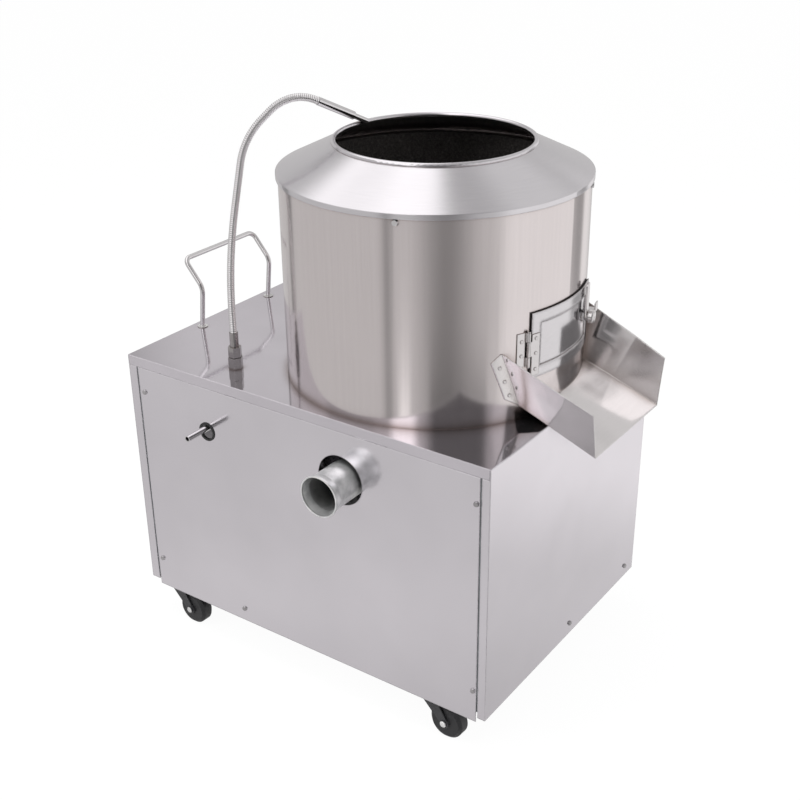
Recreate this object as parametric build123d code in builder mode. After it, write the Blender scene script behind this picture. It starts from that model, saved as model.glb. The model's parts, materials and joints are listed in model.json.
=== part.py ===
# Electric potato peeler: floor-standing cabinet, abrasive drum, hinged door, chute, water arm.
# Origin on the floor under the drum axis.  +X towards the chute, -Y towards the drain, +Z up.
# Every length is in millimetres and every angle in degrees.

import os
from math import asin, atan2, cos, degrees, radians, sin

from build123d import *

os.makedirs("parts", exist_ok=True)

# ---------------------------------------------------------------- cabinet sizes
floor_gap = 77.0  # underside of the side panels above the floor
cabinet_height = 450.0
cabinet_left_width = 454.0  # from the drum axis to the left side
cabinet_right_width = 270.0  # from the drum axis to the right side
cabinet_depth = 524.0
skin = 1.5  # cabinet sheet
top_fold = 18.0  # folded front and back edges of the top sheet
left_flange = 18.0  # folded edges of the left side beside the front and back panels
right_flange = 14.0
panel_gap = 3.0
panel_drop = 9.0  # front and back panels hang lower than the sides
seam = 0.3  # play between neighbouring sheets
past = 2.0  # how far a cutting shape runs past what it cuts

top_z = floor_gap + cabinet_height
half_depth = cabinet_depth / 2
front_y = -half_depth
panel_left = -cabinet_left_width + left_flange + panel_gap
panel_right = cabinet_right_width - right_flange - panel_gap
panel_top = top_z - top_fold - seam
panel_bottom = floor_gap - panel_drop

# ---------------------------------------------------------------- chassis sizes
angle_leg = 30.0
angle_wall = 3.0
frame_bottom = floor_gap + 10.0
rail_size = 30.0  # square tube that carries the pan, the bearing and the motor
rail_half_gap = 100.0  # from the drum axis plane to the rail centre
caster_pad = 64.0

# ---------------------------------------------------------------- drum sizes
drum_radius = 244.5
drum_wall = 1.5
drum_height = 333.0
drum_lip_width = 16.0  # inward flange that is bolted to the cabinet top
drum_lip = 2.0
liner_thickness = 8.0
liner_rise = 52.0  # lower edge of the lining above the cabinet top
skirt_play = 2.0  # between the drum and the skirt of the cone
skirt_wall = 1.5
skirt_height = 8.0
skirt_overlap = 6.0  # skirt below the drum's upper edge
mouth_radius = 152.5
bead_radius = 4.0
cone_rise = 44.0
peg_azimuth = -69.5
peg_head_radius = 5.5

liner_bottom = top_z + liner_rise
drum_inner = drum_radius - drum_wall
liner_inner = drum_inner - liner_thickness
drum_top = top_z + drum_height
skirt_radius = drum_radius + skirt_play + skirt_wall
skirt_z = drum_top - skirt_overlap
cone_z = skirt_z + skirt_height
bead_circle = mouth_radius + bead_radius
bead_z = cone_z + cone_rise

# ---------------------------------------------------------------- door sizes
door_half_angle = 21.0
door_rise = 65.0  # lower edge of the door above the cabinet top
door_height = 105.0
door_wall = 1.5
door_overlap = 10.0  # door edge beyond the opening
gasket_squeeze = 0.3
gasket_thickness = 2.2
recess_depth = 2.0
recess_margin = 16.0
plug_gap = 3.0
plug_inset = 1.0

door_bottom = top_z + door_rise
opening_bottom = door_bottom + door_overlap
opening_top = door_bottom + door_height - door_overlap
opening_half_angle = door_half_angle - degrees(door_overlap / drum_radius)
gasket_inner = drum_radius + gasket_squeeze
door_inner = gasket_inner + gasket_thickness
door_outer = door_inner + door_wall

# ---------------------------------------------------------------- disc sizes
disc_gap = 9.0  # between the disc and the lining
disc_thickness = 10.0
disc_rise = 60.0  # working face of the disc above the cabinet top
grit_thickness = 4.0
wave_height = 9.0
wave_width = 46.0
hub_radius = 32.0
hub_height = 30.0

disc_radius = liner_inner - disc_gap
disc_top = top_z + disc_rise

# ---------------------------------------------------------------- catch pan sizes
pan_inset = 29.5  # pan wall inside the drum
pan_wall = 2.0
pan_flange = 28.0
drain_depth = 105.0  # pipe axis below the cabinet top
drain_radius = 32.0
drain_wall = 2.5
drain_mouth_radius = 35.0
drain_reach = 57.0  # beyond the front panel
drain_slope_drop = 1.0  # pan floor below the pipe bore
drain_hole_radius = 42.5
drain_hole_shift = 2.0

pan_radius = drum_radius - pan_inset
drain_z = top_z - drain_depth
pan_floor = drain_z - drain_radius + drain_wall - drain_slope_drop
pan_outer_bottom = pan_floor - pan_wall

# ---------------------------------------------------------------- drive sizes
shaft_radius = 12.5
running_gap = 0.05
bearing_outer = 26.0
bearing_width = 15.0
barrel_radius = 36.0
barrel_above_floor = 26.0
plate_thickness = 8.0
pulley_radius = 125.0
motor_pulley_radius = 35.0
pulley_width = 22.0
pulley_drop = 52.0  # pulley mid-plane below the bearing plate
motor_radius = 76.0
motor_length = 118.0
motor_shaft_radius = 9.5
belt_top = 12.5
belt_bottom = 8.0
belt_depth = 8.0
belt_gap = 0.4
motor_gap = 27.0  # between the pan and the motor

motor_distance = pan_radius + pan_wall + motor_gap + motor_radius
rail_top = pan_outer_bottom
rail_bottom = rail_top - rail_size
bearing_plate_bottom = rail_bottom - plate_thickness
pulley_z = bearing_plate_bottom - pulley_drop
belt_seat = 2.5  # back of the belt below the pulley rim

# ---------------------------------------------------------------- water line sizes
arm_x = -263.5
arm_y = -199.7
arm_azimuth = 62.0
arm_radius = 6.2
arm_bore = 3.5
nozzle_radius = 6.8
tip_radius = 4.6
inlet_x = -281.0
inlet_depth = 92.0  # stub axis below the cabinet top
inlet_radius = 5.3
inlet_bore = 3.8
inlet_reach = 47.0
inlet_hole_radius = 15.0
inlet_hole_drop = 6.5
grommet_wall = 1.6
grommet_lip = 1.5

inlet_z = top_z - inlet_depth

# ---------------------------------------------------------------- handle sizes
handle_inset = 21.0  # from the left side
handle_front_y = -98.5
handle_back_y = 82.0
handle_rod = 4.3
handle_leg = 75.0  # height of the bend in the legs
handle_knee_shift = 7.5  # the legs lean towards the drum up to the bend
handle_seat = 6.0  # upright foot above the cabinet top
handle_height = 121.0
handle_lean = 31.0
handle_tail = 16.0

handle_x = -cabinet_left_width + handle_inset

# ---------------------------------------------------------------- caster sizes
wheel_radius = 31.0
wheel_width = 25.0
caster_trail = 27.0
caster_turn = -3.0
caster_left_inset = 59.0
caster_right_inset = 106.0
caster_edge = 22.5  # from the kingpin to the outer face of the cabinet
caster_plate_length = 56.0
caster_plate_width = 38.0
caster_plate_thickness = 3.0
fork_gap = 1.6
fork_wall = 2.5
axle_radius = 4.0

caster_left_x = -cabinet_left_width + caster_left_inset
caster_right_x = cabinet_right_width - caster_right_inset
caster_y = half_depth - caster_edge

# ---------------------------------------------------------------- fastener sizes
screw_radius = 2.0
screw_head = 4.6
screw_head_height = 2.6
screw_head_taper = 18.0
bolt_radius = 4.0
bolt_head = 7.5  # across the corners, as a radius
bolt_head_height = 5.5
nut_height = 6.5
rivet_radius = 1.6
rivet_head = 3.0
rivet_head_height = 1.4
rivet_head_taper = 25.0


# ---------------------------------------------------------------- fastener places
panel_screw_low = 50.0  # above the side panels' lower edge
panel_screw_high = 63.0  # below the cabinet top
panel_screw_inset = 11.0
panel_screw_inset_right = 6.0
bottom_screw_x = -226.0
bottom_screw_rise = 16.0
side_screw_y = (15.0, 228.0)
side_screw_rise = 21.0

bottom_screw_z = floor_gap + bottom_screw_rise
side_screw_z = floor_gap + side_screw_rise
panel_screw_points = [
    (x, z)
    for x in (panel_left + panel_screw_inset, panel_right - panel_screw_inset_right)
    for z in (floor_gap + panel_screw_low, top_z - panel_screw_high)
]
drum_bolt_circle_radius = drum_inner - drum_lip_width / 2
drum_bolt_count = 8
housing_bolt_circle_radius = 50.0
motor_bolt_half = 58.0
motor_bolt_points = [
    (-motor_distance + motor_bolt_half * sx, motor_bolt_half * sy) for sx in (-1, 1) for sy in (-1, 1)
]
handle_points = [(handle_x, handle_front_y), (handle_x, handle_back_y)]
gland_inset = 59.0  # from the left side
gland_rise = 80.0  # above the side panels' lower edge
gland_thread = 8.0
switch_inset = 124.0  # from the left side
switch_depth_down = 110.0  # middle of the box below the cabinet top
switch_width = 78.0
switch_height = 118.0
switch_depth = 52.0
switch_wire_hole = 9.0

gland_x = -cabinet_left_width + gland_inset
gland_z = floor_gap + gland_rise
switch_x = -cabinet_left_width + switch_inset
switch_z = top_z - switch_depth_down

# ---------------------------------------------------------------- chassis places
post_leg = 42.0
motor_plate_half = 84.0
motor_plate_slot = 14.0
bearing_plate_half = 76.0
plate_reach = rail_half_gap + rail_size / 2
spigot_radius = 40.0

# ---------------------------------------------------------------- drum and lining details
peg_z = skirt_z - peg_head_radius - seam
peg_radius = 2.5
peg_nut_radius = 4.0
peg_nut_height = 4.0
liner_top_gap = 3.0
recess_angle = degrees(recess_margin / drum_radius)
peg_flat_gap = 0.05
peg_head_height = 3.4
peg_head_taper = 20.0
chute_wall = 1.5

# ---------------------------------------------------------------- chute sizes
chute_slope = 20.4
chute_root_rise = 15.6  # floor of the chute above the cabinet top at the drum
chute_reach = 111.5  # end of the chute beyond the drum
# distance along the slope, half width at the floor, half width at the top, wall height
chute_sections = (
    (-80.0, 103.0, 133.0, 80.0),
    (34.0, 105.5, 128.0, 75.0),
    (150.0, 108.0, 117.5, 70.0),
)
wall_top_half = 134.0
wall_top_rise = 114.5
wall_foot_half = 105.9
wall_foot_rise = 25.4
flange_strip = 15.5
flange_top_cut = 8.0
flange_foot_cut = 20.0
leaf_wall = 1.5
rivet_seat = 0.05
chute_rivet_steps = (20.0, 45.0, 70.0)
quarter_turn = 90.0

chute_root_z = top_z + chute_root_rise
chute_end_x = drum_radius + chute_reach
wall_top = (wall_top_half, top_z + wall_top_rise)
wall_foot = (wall_foot_half, top_z + wall_foot_rise)

# ---------------------------------------------------------------- hinge and latch sizes
hinge_azimuth = -22.3
hinge_stand_off = 4.2  # pin axis outside the drum
knuckle_radius = 3.0
pin_radius = 1.6
drum_leaf_angles = (-26.7, -22.8)
drum_leaf_rise = 22.0  # above the door's lower edge
drum_leaf_length = 54.0
door_leaf_angles = (-21.9, -17.6)
door_leaf_rise = 5.0
door_leaf_length = 67.0
middle_knuckle_rise = 37.0
middle_knuckle_length = 24.0
knuckle_gap = 0.4
knuckle_relief = 0.3  # angle kept free beside the middle barrel
drum_hinge_rivet_azimuth = -24.9
drum_hinge_rivet_rises = (40.0, 63.0)
door_hinge_rivet_inset = 7.25  # from the edge of the door
door_hinge_rivet_rises = (15.0, 41.0, 65.0)
pin_overhang = 2.0
pin_head_radius = 2.6
latch_azimuth = 13.5
latch_rise = 55.0  # above the door's lower edge
latch_length = 56.0
latch_width = 14.0
latch_thickness = 3.0
latch_lift = 0.4
latch_boss_radius = 9.0
latch_boss_height = 4.5
latch_spindle = 4.0
knob_radius = 11.0
knob_height = 12.0
keeper_from = 44.0
keeper_to = 59.0
keeper_wall = 3.4
keeper_play = 0.6
keeper_lip = 2.2
keeper_base = 15.0
keeper_rivet_drop = 9.0

hinge_radius = drum_radius + hinge_stand_off
door_hinge_rivet_azimuth = degrees(door_hinge_rivet_inset / drum_radius) - door_half_angle
drum_leaf_z = (door_bottom + drum_leaf_rise, door_bottom + drum_leaf_rise + drum_leaf_length)
door_leaf_z = (door_bottom + door_leaf_rise, door_bottom + door_leaf_rise + door_leaf_length)
middle_knuckle_z = (
    door_bottom + middle_knuckle_rise,
    door_bottom + middle_knuckle_rise + middle_knuckle_length,
)
drum_hinge_rivet_z = [door_bottom + rise for rise in drum_hinge_rivet_rises]
door_hinge_rivet_z = [door_bottom + rise for rise in door_hinge_rivet_rises]
latch_z = door_bottom + latch_rise
door_skin_outer = door_outer - recess_depth
latch_bar_radius = door_skin_outer + latch_boss_height + latch_lift
keeper_azimuth = latch_azimuth + degrees(
    atan2((keeper_from + keeper_to) / 2, latch_bar_radius)
)

# ---------------------------------------------------------------- door details
door_top = door_bottom + door_height
gasket_inset = 0.8
knob_neck = 3.0
knob_edge = 4.0
keeper_lip_reach = 15.0

# ---------------------------------------------------------------- catch pan and drain details
saddle_start = 120.0
mouth_lip = 3.0
mouth_cone = 12.0

# ---------------------------------------------------------------- shaft and bearings details
barrel_top = pan_floor + barrel_above_floor
barrel_drop = 24.0  # barrel below the bearing plate
barrel_bottom = bearing_plate_bottom - barrel_drop
housing_flange_radius = 62.0
housing_flange = 8.0
housing_waist = 21.0
seal_height = 7.0
seal_lip = 1.0
seal_flare = 4.0
disc_plate_bottom = disc_top - grit_thickness - disc_thickness
grit_bottom = disc_top - grit_thickness
sweeper_hub = 27.0
sweeper_lift = 4.0  # sweeper above the bearing barrel
sweeper_height = 34.0
sweeper_bottom = barrel_top + sweeper_lift
sweeper_top = sweeper_bottom + sweeper_height
sweeper_gap = 11.0  # between the sweeper and the pan wall
sweeper_plate = 6.0
sweeper_floor_gap = 7.0
sweeper_turn = 35.0
sweeper_reach = pan_radius - sweeper_gap
pulley_hub_radius = 24.0
pulley_hub_half = 18.0
pulley_seat_radius = 11.0
shaft_tail = 4.0
thread_radius = 8.0
thread_height = 16.0
cap_washer_radius = 20.0
cap_washer = 3.0
cap_nut_radius = 14.0
cap_nut_height = 12.0
grit_bore = 24.0
seal_gap = 1.0
lower_bearing_inset = 2.0
upper_bearing_z = barrel_top - seal_height - seal_gap - bearing_width
lower_bearing_z = barrel_bottom + lower_bearing_inset
shield_half = 3.2
shield_depth = 0.8
groove_relief = 1.0  # groove below the belt
pulley_rim = 6.0  # metal under the groove
small_hub_radius = 15.0
small_web_inset = 1.0
web_hole_radius = 20.0
web_hole_circle_radius = 68.0
web_hole_count = 6
web_half = 4.0
rib_count = 6
rib_height = 16.0
rib_width = 8.0
rib_inset = 21.0  # ribs end inside the disc's edge
wave_count = 3
wave_azimuth = 30.0
wave_from = 44.0
wave_inset = 10.0  # waves end inside the disc's edge

rib_reach = disc_radius - rib_inset
wave_to = disc_radius - wave_inset

# ---------------------------------------------------------------- motor and belt details
motor_flange = 10.0
motor_flange_half = 74.0
motor_flange_corner = 12.0
motor_fin_depth = 5.0
motor_fin_count = 20
motor_fin_width = 3.5
motor_bore = 58.0
motor_cover_height = 26.0
rotor_core_radius = 57.4
rotor_core_from = 22.0
rotor_core_height = 70.0
rotor_top = 12.0
motor_z = rail_bottom
motor_top_z = motor_z + motor_flange + motor_length
motor_fin_gap = 2.0
fin_foot = 7.5  # fins start above the bolt heads
bolt_end = 7.5

# ---------------------------------------------------------------- water line details
pipe_turn_y = -222.0
pipe_turn_depth = 48.0  # end of the slanted run below the cabinet top
pipe_bend = 11.0
pipe_stick_out = 10.0
arm_start = 42.0  # above the cabinet top
arm_straight = 144.0
# route of the arm above its straight foot: distance from the foot and height above the cone's rim
arm_crook = ((39.5, 1.8), (121.0, 67.7), (166.6, 45.2))
arm_bends = (900.0, 110.0, 72.0)
nozzle_length = 68.0
tip_length = 26.0
locknut_radius = 12.6
locknut_height = 20.0
socket_radius = 11.6
socket_top = 38.6
collar_radius = 7.4
collar_top = 64.0
fitting_gap = 1.0

pipe_rise_z = top_z - pipe_turn_depth
pipe_top = top_z + pipe_stick_out
arm_route = [
    (0, arm_start),
    (0, arm_start + arm_straight),
    *((run, bead_z - top_z + rise) for run, rise in arm_crook),
]

# ---------------------------------------------------------------- handle details
handle_seat_bend = 40.0
handle_leg_bend = 26.0
handle_corner = 13.0
washer_radius = 9.0
washer_height = 1.6
handle_nut_radius = 9.0
handle_nut_height = 7.0

# ---------------------------------------------------------------- caster details
caster_points = (
    (caster_left_x, -caster_y),
    (caster_right_x, -caster_y),
    (caster_right_x, caster_y),
    (caster_left_x, caster_y),
)
race_radius = 19.0
crown_radius = 18.0
crown_clearance = 2.5
crown_bottom = 2 * wheel_radius + crown_clearance
crown_top = crown_bottom + fork_wall
race_gap = 0.3
race_bottom = crown_top + race_gap
plate_bottom = frame_bottom - caster_plate_thickness
kingpin_radius = 5.0
kingpin_head = 8.0
kingpin_head_height = 2.4
fork_inner = wheel_width / 2 + fork_gap
fork_outer = fork_inner + fork_wall
fork_foot_radius = 9.0
hub_play = 0.4
hub_half = fork_inner - hub_play
hub_radius_small = 9.0
axle_head_radius = 6.0
axle_head_height = 2.5
tyre_edge = 5.0
crown_reach = 14.0

# ---------------------------------------------------------------- switch and gland details
switch_wall = 3.0
switch_corner = 6.0
button_stem = 6.0
button_cap = 12.0
button_cap_height = 6.0
button_rest_gap = 5.0
button_spacing = 22.0
button_tail = 14.0
gland_hex = 12.0
gland_hex_height = 8.0
gland_cap_radius = 9.5
gland_cap_height = 10.0
gland_tail = 16.0
gland_bore = 4.5

# ---------------------------------------------------------------- caster names
caster_names = ("front_left", "front_right", "back_right", "back_left")


# ---------------------------------------------------------------- shared shapes
def slab(x_from, x_to, y_from, y_to, z_from, z_to, mode=Mode.ADD):
    """Block between the given limits."""
    with Locations(((x_from + x_to) / 2, (y_from + y_to) / 2, (z_from + z_to) / 2)):
        Box(abs(x_to - x_from), abs(y_to - y_from), abs(z_to - z_from), mode=mode)


def rod(x, y, z_from, z_to, radius, mode=Mode.ADD):
    """Upright round bar."""
    with Locations((x, y, (z_from + z_to) / 2)):
        Cylinder(radius, abs(z_to - z_from), mode=mode)


def radial(azimuth, radius, z):
    """Point at the azimuth and radius around the drum axis."""
    return (radius * cos(radians(azimuth)), radius * sin(radians(azimuth)), z)


def upright(azimuth):
    """Plane through the drum axis: local x runs outward and local y runs up."""
    outward = radial(azimuth, 1, 0)
    return Plane(origin=(0, 0, 0), x_dir=outward, z_dir=radial(azimuth - 90, 1, 0))


def outward_plane(azimuth, radius, z):
    """Plane that faces away from the drum axis: local x runs anticlockwise, local y runs up."""
    return Plane(
        origin=radial(azimuth, radius, z),
        x_dir=radial(azimuth + 90, 1, 0),
        z_dir=radial(azimuth, 1, 0),
    )


def curved(r_in, r_out, a_from, a_to, z_from, z_to, mode=Mode.ADD):
    """Curved sheet around the drum axis."""
    with BuildSketch(upright(a_from)) as section:
        with Locations(((r_in + r_out) / 2, (z_from + z_to) / 2)):
            Rectangle(r_out - r_in, z_to - z_from)
    revolve(section.sketch, axis=Axis.Z, revolution_arc=a_to - a_from, mode=mode)


def turned(points, plane, axis, mode=Mode.ADD):
    """Full turn of a closed outline that lies in the plane."""
    with BuildSketch(plane) as section:
        with BuildLine():
            Polyline(*points, close=True)
        make_face()
    revolve(section.sketch, axis=axis, mode=mode)


def pan_screw(plane, grip):
    """Domed screw: head on the plane, shank of the grip length behind it."""
    with BuildSketch(plane) as head:
        Circle(screw_head)
    extrude(head.sketch, amount=screw_head_height, taper=screw_head_taper)
    with BuildSketch(plane) as shank:
        Circle(screw_radius)
    extrude(shank.sketch, amount=-grip)


def rivet(plane, grip):
    """Domed rivet: head on the plane, shank of the grip length behind it."""
    with BuildSketch(plane) as head:
        Circle(rivet_head)
    extrude(head.sketch, amount=rivet_head_height, taper=rivet_head_taper)
    with BuildSketch(plane) as shank:
        Circle(rivet_radius)
    extrude(shank.sketch, amount=-grip)


def hole(plane, radius, depth):
    """Round hole to both sides of the plane."""
    with BuildSketch(plane) as outline:
        Circle(radius)
    extrude(outline.sketch, amount=depth, both=True, mode=Mode.SUBTRACT)


def save(part, label):
    """Write one sub-part under its own name."""
    part.part.label = label
    export_step(part.part, f"parts/{label}.step")


# ---------------------------------------------------------------- fastener places
panel_screw_points.append((bottom_screw_x, bottom_screw_z))

drum_bolt_points = [
    radial(22.5 + 360 / drum_bolt_count * k, drum_bolt_circle_radius, 0) for k in range(drum_bolt_count)
]
housing_bolt_points = [radial(45 + 90 * k, housing_bolt_circle_radius, 0) for k in range(4)]


# ---------------------------------------------------------------- cabinet panels
def build_cabinet_top():
    """Top sheet with folded front and back lips and the opening under the drum."""
    with BuildPart() as cabinet_top:
        slab(-cabinet_left_width, cabinet_right_width, front_y, half_depth, top_z - skin, top_z)
        for side in (-1, 1):
            slab(
                -cabinet_left_width + skin,
                cabinet_right_width - skin,
                side * half_depth,
                side * (half_depth - skin),
                top_z - top_fold,
                top_z - skin,
            )
        rod(0, 0, top_z - past, top_z + past, pan_radius, mode=Mode.SUBTRACT)
        for x, y, _ in drum_bolt_points:
            rod(x, y, top_z - past, top_z + past, bolt_radius, mode=Mode.SUBTRACT)
        for x, y in handle_points:
            rod(x, y, top_z - past, top_z + past, handle_rod, mode=Mode.SUBTRACT)
        rod(arm_x, arm_y, top_z - past, top_z + past, inlet_radius, mode=Mode.SUBTRACT)
    return cabinet_top


def build_side_panel(x_outer, inward, flange):
    """Side sheet with folded front, back and bottom edges."""
    x_inner = x_outer + inward * skin
    x_edge = x_outer + inward * flange
    with BuildPart() as side_panel:
        slab(x_outer, x_inner, front_y, half_depth, floor_gap, top_z - skin)
        for side in (-1, 1):
            slab(
                x_inner,
                x_edge,
                side * half_depth,
                side * (half_depth - skin),
                floor_gap,
                top_z - top_fold - seam,
            )
        slab(x_inner, x_edge, front_y + skin, half_depth - skin, floor_gap, floor_gap + skin)
        for y in side_screw_y:
            hole(Plane(origin=(x_outer, y, side_screw_z), z_dir=(1, 0, 0)), screw_radius, 2 * skin)
    return side_panel


def build_front_panel():
    """Removable front sheet with the drain and water inlet holes."""
    with BuildPart() as front_panel:
        slab(panel_left, panel_right, front_y, front_y + skin, panel_bottom, panel_top)
        hole(
            Plane(origin=(-drain_hole_shift, front_y, drain_z + drain_hole_shift), z_dir=(0, -1, 0)),
            drain_hole_radius,
            2 * skin,
        )
        hole(
            Plane(origin=(inlet_x, front_y, inlet_z - inlet_hole_drop), z_dir=(0, -1, 0)),
            inlet_hole_radius,
            2 * skin,
        )
        for x, z in panel_screw_points:
            hole(Plane(origin=(x, front_y, z), z_dir=(0, -1, 0)), screw_radius, 2 * skin)
    return front_panel


def build_back_panel():
    """Removable back sheet with the switch and cable gland holes."""
    with BuildPart() as back_panel:
        slab(panel_left, panel_right, half_depth - skin, half_depth, panel_bottom, panel_top)
        for x, z in panel_screw_points:
            hole(Plane(origin=(x, half_depth, z), z_dir=(0, 1, 0)), screw_radius, 2 * skin)
        hole(Plane(origin=(gland_x, half_depth, gland_z), z_dir=(0, 1, 0)), gland_thread, 2 * skin)
        hole(
            Plane(origin=(switch_x, half_depth, switch_z), z_dir=(0, 1, 0)),
            switch_wire_hole,
            2 * skin,
        )
    return back_panel


def build_panel_screws():
    """Screws of the front, back and side panels."""
    grip = skin + angle_wall
    with BuildPart() as panel_screws:
        for x, z in panel_screw_points:
            pan_screw(Plane(origin=(x, front_y, z), z_dir=(0, -1, 0)), grip)
            pan_screw(Plane(origin=(x, half_depth, z), z_dir=(0, 1, 0)), grip)
        for y in side_screw_y:
            pan_screw(Plane(origin=(-cabinet_left_width, y, side_screw_z), z_dir=(-1, 0, 0)), grip)
            pan_screw(Plane(origin=(cabinet_right_width, y, side_screw_z), z_dir=(1, 0, 0)), grip)
    return panel_screws


# ---------------------------------------------------------------- chassis


def build_chassis_frame():
    """Welded frame: angle base, corner posts, pan rails, bearing plate and motor plate."""
    left = -cabinet_left_width + skin
    right = cabinet_right_width - skin
    front = front_y + skin
    back = half_depth - skin
    frame_top = top_z - skin
    with BuildPart() as chassis_frame:
        for y, way in ((front, 1), (back, -1)):
            slab(left, right, y, y + way * angle_wall, frame_bottom, frame_bottom + angle_leg)
            slab(left, right, y, y + way * angle_leg, frame_bottom, frame_bottom + angle_wall)
        for x, way in ((left, 1), (right, -1)):
            slab(x, x + way * angle_wall, front, back, frame_bottom, frame_bottom + angle_leg)
            slab(x, x + way * angle_leg, front, back, frame_bottom, frame_bottom + angle_wall)
            slab(x, x + way * angle_wall, front, back, rail_bottom, rail_top)
            for y, turn in ((front, 1), (back, -1)):
                slab(x, x + way * angle_wall, y, y + turn * post_leg, frame_bottom, frame_top)
                slab(x, x + way * post_leg, y, y + turn * angle_wall, frame_bottom, frame_top)
        for x in (caster_left_x, caster_right_x):
            for side in (-1, 1):
                slab(
                    x - caster_pad / 2,
                    x + caster_pad / 2,
                    side * (half_depth - skin),
                    side * (half_depth - skin - caster_pad),
                    frame_bottom,
                    frame_bottom + angle_wall,
                )
        for side in (-1, 1):
            y = side * rail_half_gap
            half = rail_size / 2
            bore = half - angle_wall
            slab(left, right, y - half, y + half, rail_bottom, rail_top)
            slab(
                left + angle_wall,
                right - angle_wall,
                y - bore,
                y + bore,
                rail_bottom + angle_wall,
                rail_top - angle_wall,
                mode=Mode.SUBTRACT,
            )
        for x, half in ((0, bearing_plate_half), (-motor_distance, motor_plate_half)):
            slab(x - half, x + half, -plate_reach, plate_reach, bearing_plate_bottom, rail_bottom)
        rod(0, 0, bearing_plate_bottom, rail_bottom, barrel_radius + seam, mode=Mode.SUBTRACT)
        rod(-motor_distance, 0, bearing_plate_bottom, rail_bottom, spigot_radius, mode=Mode.SUBTRACT)
        for x, y, _ in housing_bolt_points:
            rod(x, y, bearing_plate_bottom, rail_bottom, bolt_radius, mode=Mode.SUBTRACT)
        with BuildSketch(Plane.XY.offset(bearing_plate_bottom)) as slots:
            with Locations(*motor_bolt_points):
                SlotCenterToCenter(motor_plate_slot, 2 * bolt_radius)
        extrude(slots.sketch, amount=plate_thickness, mode=Mode.SUBTRACT)
        for x, z in panel_screw_points:
            for y in (front, back):
                hole(Plane(origin=(x, y, z), z_dir=(0, 1, 0)), screw_radius, angle_wall)
        for y in side_screw_y:
            for x in (left, right):
                hole(Plane(origin=(x, y, side_screw_z), z_dir=(1, 0, 0)), screw_radius, angle_wall)
    return chassis_frame


# ---------------------------------------------------------------- drum and lining
def build_drum_shell():
    """Rolled drum with an inward bolting lip and the door opening."""
    with BuildPart() as drum_shell:
        curved(drum_inner, drum_radius, 0, 360, top_z, drum_top)
        curved(drum_inner - drum_lip_width, drum_inner, 0, 360, top_z, top_z + drum_lip)
        for x, y, _ in drum_bolt_points:
            rod(x, y, top_z, top_z + drum_lip, bolt_radius, mode=Mode.SUBTRACT)
        curved(
            drum_inner - skin,
            drum_radius + skin,
            -opening_half_angle,
            opening_half_angle,
            opening_bottom,
            opening_top,
            mode=Mode.SUBTRACT,
        )
        for quarter in range(4):
            hole(outward_plane(peg_azimuth + 90 * quarter, drum_radius, peg_z), peg_radius, 2 * skin)
        for plane in drum_rivet_planes():
            hole(plane, rivet_radius, drum_wall * 3)
    return drum_shell


def build_abrasive_liner():
    """Abrasive ring bonded inside the drum, open at the door."""
    with BuildPart() as abrasive_liner:
        curved(liner_inner, drum_inner, 0, 360, liner_bottom, drum_top - liner_top_gap)
        curved(
            liner_inner - skin,
            drum_inner + skin,
            -opening_half_angle,
            opening_half_angle,
            opening_bottom,
            opening_top,
            mode=Mode.SUBTRACT,
        )
        for quarter in range(4):
            hole(
                outward_plane(peg_azimuth + 90 * quarter, drum_inner, peg_z),
                peg_nut_radius + seam,
                peg_nut_height + seam,
            )
    return abrasive_liner


def build_hopper_cone():
    """Loading cone with a short skirt over the drum and a rolled rim."""
    slope = atan2(cone_rise, skirt_radius - bead_circle)
    drop = skirt_wall / cos(slope)
    outline = [
        (skirt_radius - skirt_wall, skirt_z),
        (skirt_radius, skirt_z),
        (skirt_radius, cone_z),
        (bead_circle, bead_z),
        (bead_circle, bead_z - drop),
        (skirt_radius - skirt_wall, cone_z - drop),
    ]
    with BuildPart() as hopper_cone:
        turned(outline, Plane.XZ, Axis.Z)
        with BuildSketch(Plane.XZ) as bead:
            with Locations((bead_circle, bead_z)):
                Circle(bead_radius)
        revolve(bead.sketch, axis=Axis.Z)
    return hopper_cone


def build_cone_pegs():
    """Four domed pegs through the drum wall that carry the skirt of the cone."""
    with BuildPart() as cone_pegs:
        for quarter in range(4):
            plane = outward_plane(peg_azimuth + 90 * quarter, drum_radius + peg_flat_gap, peg_z)
            with BuildSketch(plane) as head:
                Circle(peg_head_radius)
            extrude(head.sketch, amount=peg_head_height, taper=peg_head_taper)
            with BuildSketch(plane) as shank:
                Circle(peg_radius)
            extrude(shank.sketch, amount=-(drum_wall + peg_nut_height + peg_flat_gap))
            inner = outward_plane(peg_azimuth + 90 * quarter, drum_inner - peg_flat_gap, peg_z)
            with BuildSketch(inner) as nut:
                RegularPolygon(peg_nut_radius, 6)
            extrude(nut.sketch, amount=-peg_nut_height)
    return cone_pegs


# ---------------------------------------------------------------- chute sizes

# ---------------------------------------------------------------- hinge and latch sizes


def along_wall(step, offset):
    """Azimuth and height on the drum, a step down the chute wall and an offset outside it."""
    run = wall_top[0] - wall_foot[0]
    rise = wall_top[1] - wall_foot[1]
    length = (run**2 + rise**2) ** 0.5
    y = wall_top[0] - step * run / length + offset * rise / length
    z = wall_top[1] - step * rise / length - offset * run / length
    return degrees(asin(y / (drum_radius + leaf_wall))), z


def drum_rivet_planes():
    """Seats of the rivets that pass through the drum wall."""
    seat = drum_radius + leaf_wall + rivet_seat
    planes = []
    for step in chute_rivet_steps:
        azimuth, z = along_wall(step, flange_strip / 2)
        planes.append(outward_plane(azimuth, seat, z))
        planes.append(outward_plane(-azimuth, seat, z))
    for z in drum_hinge_rivet_z:
        planes.append(outward_plane(drum_hinge_rivet_azimuth, seat, z))
    planes.append(outward_plane(keeper_azimuth, seat, latch_z - latch_width / 2 - keeper_rivet_drop))
    return planes


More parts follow.
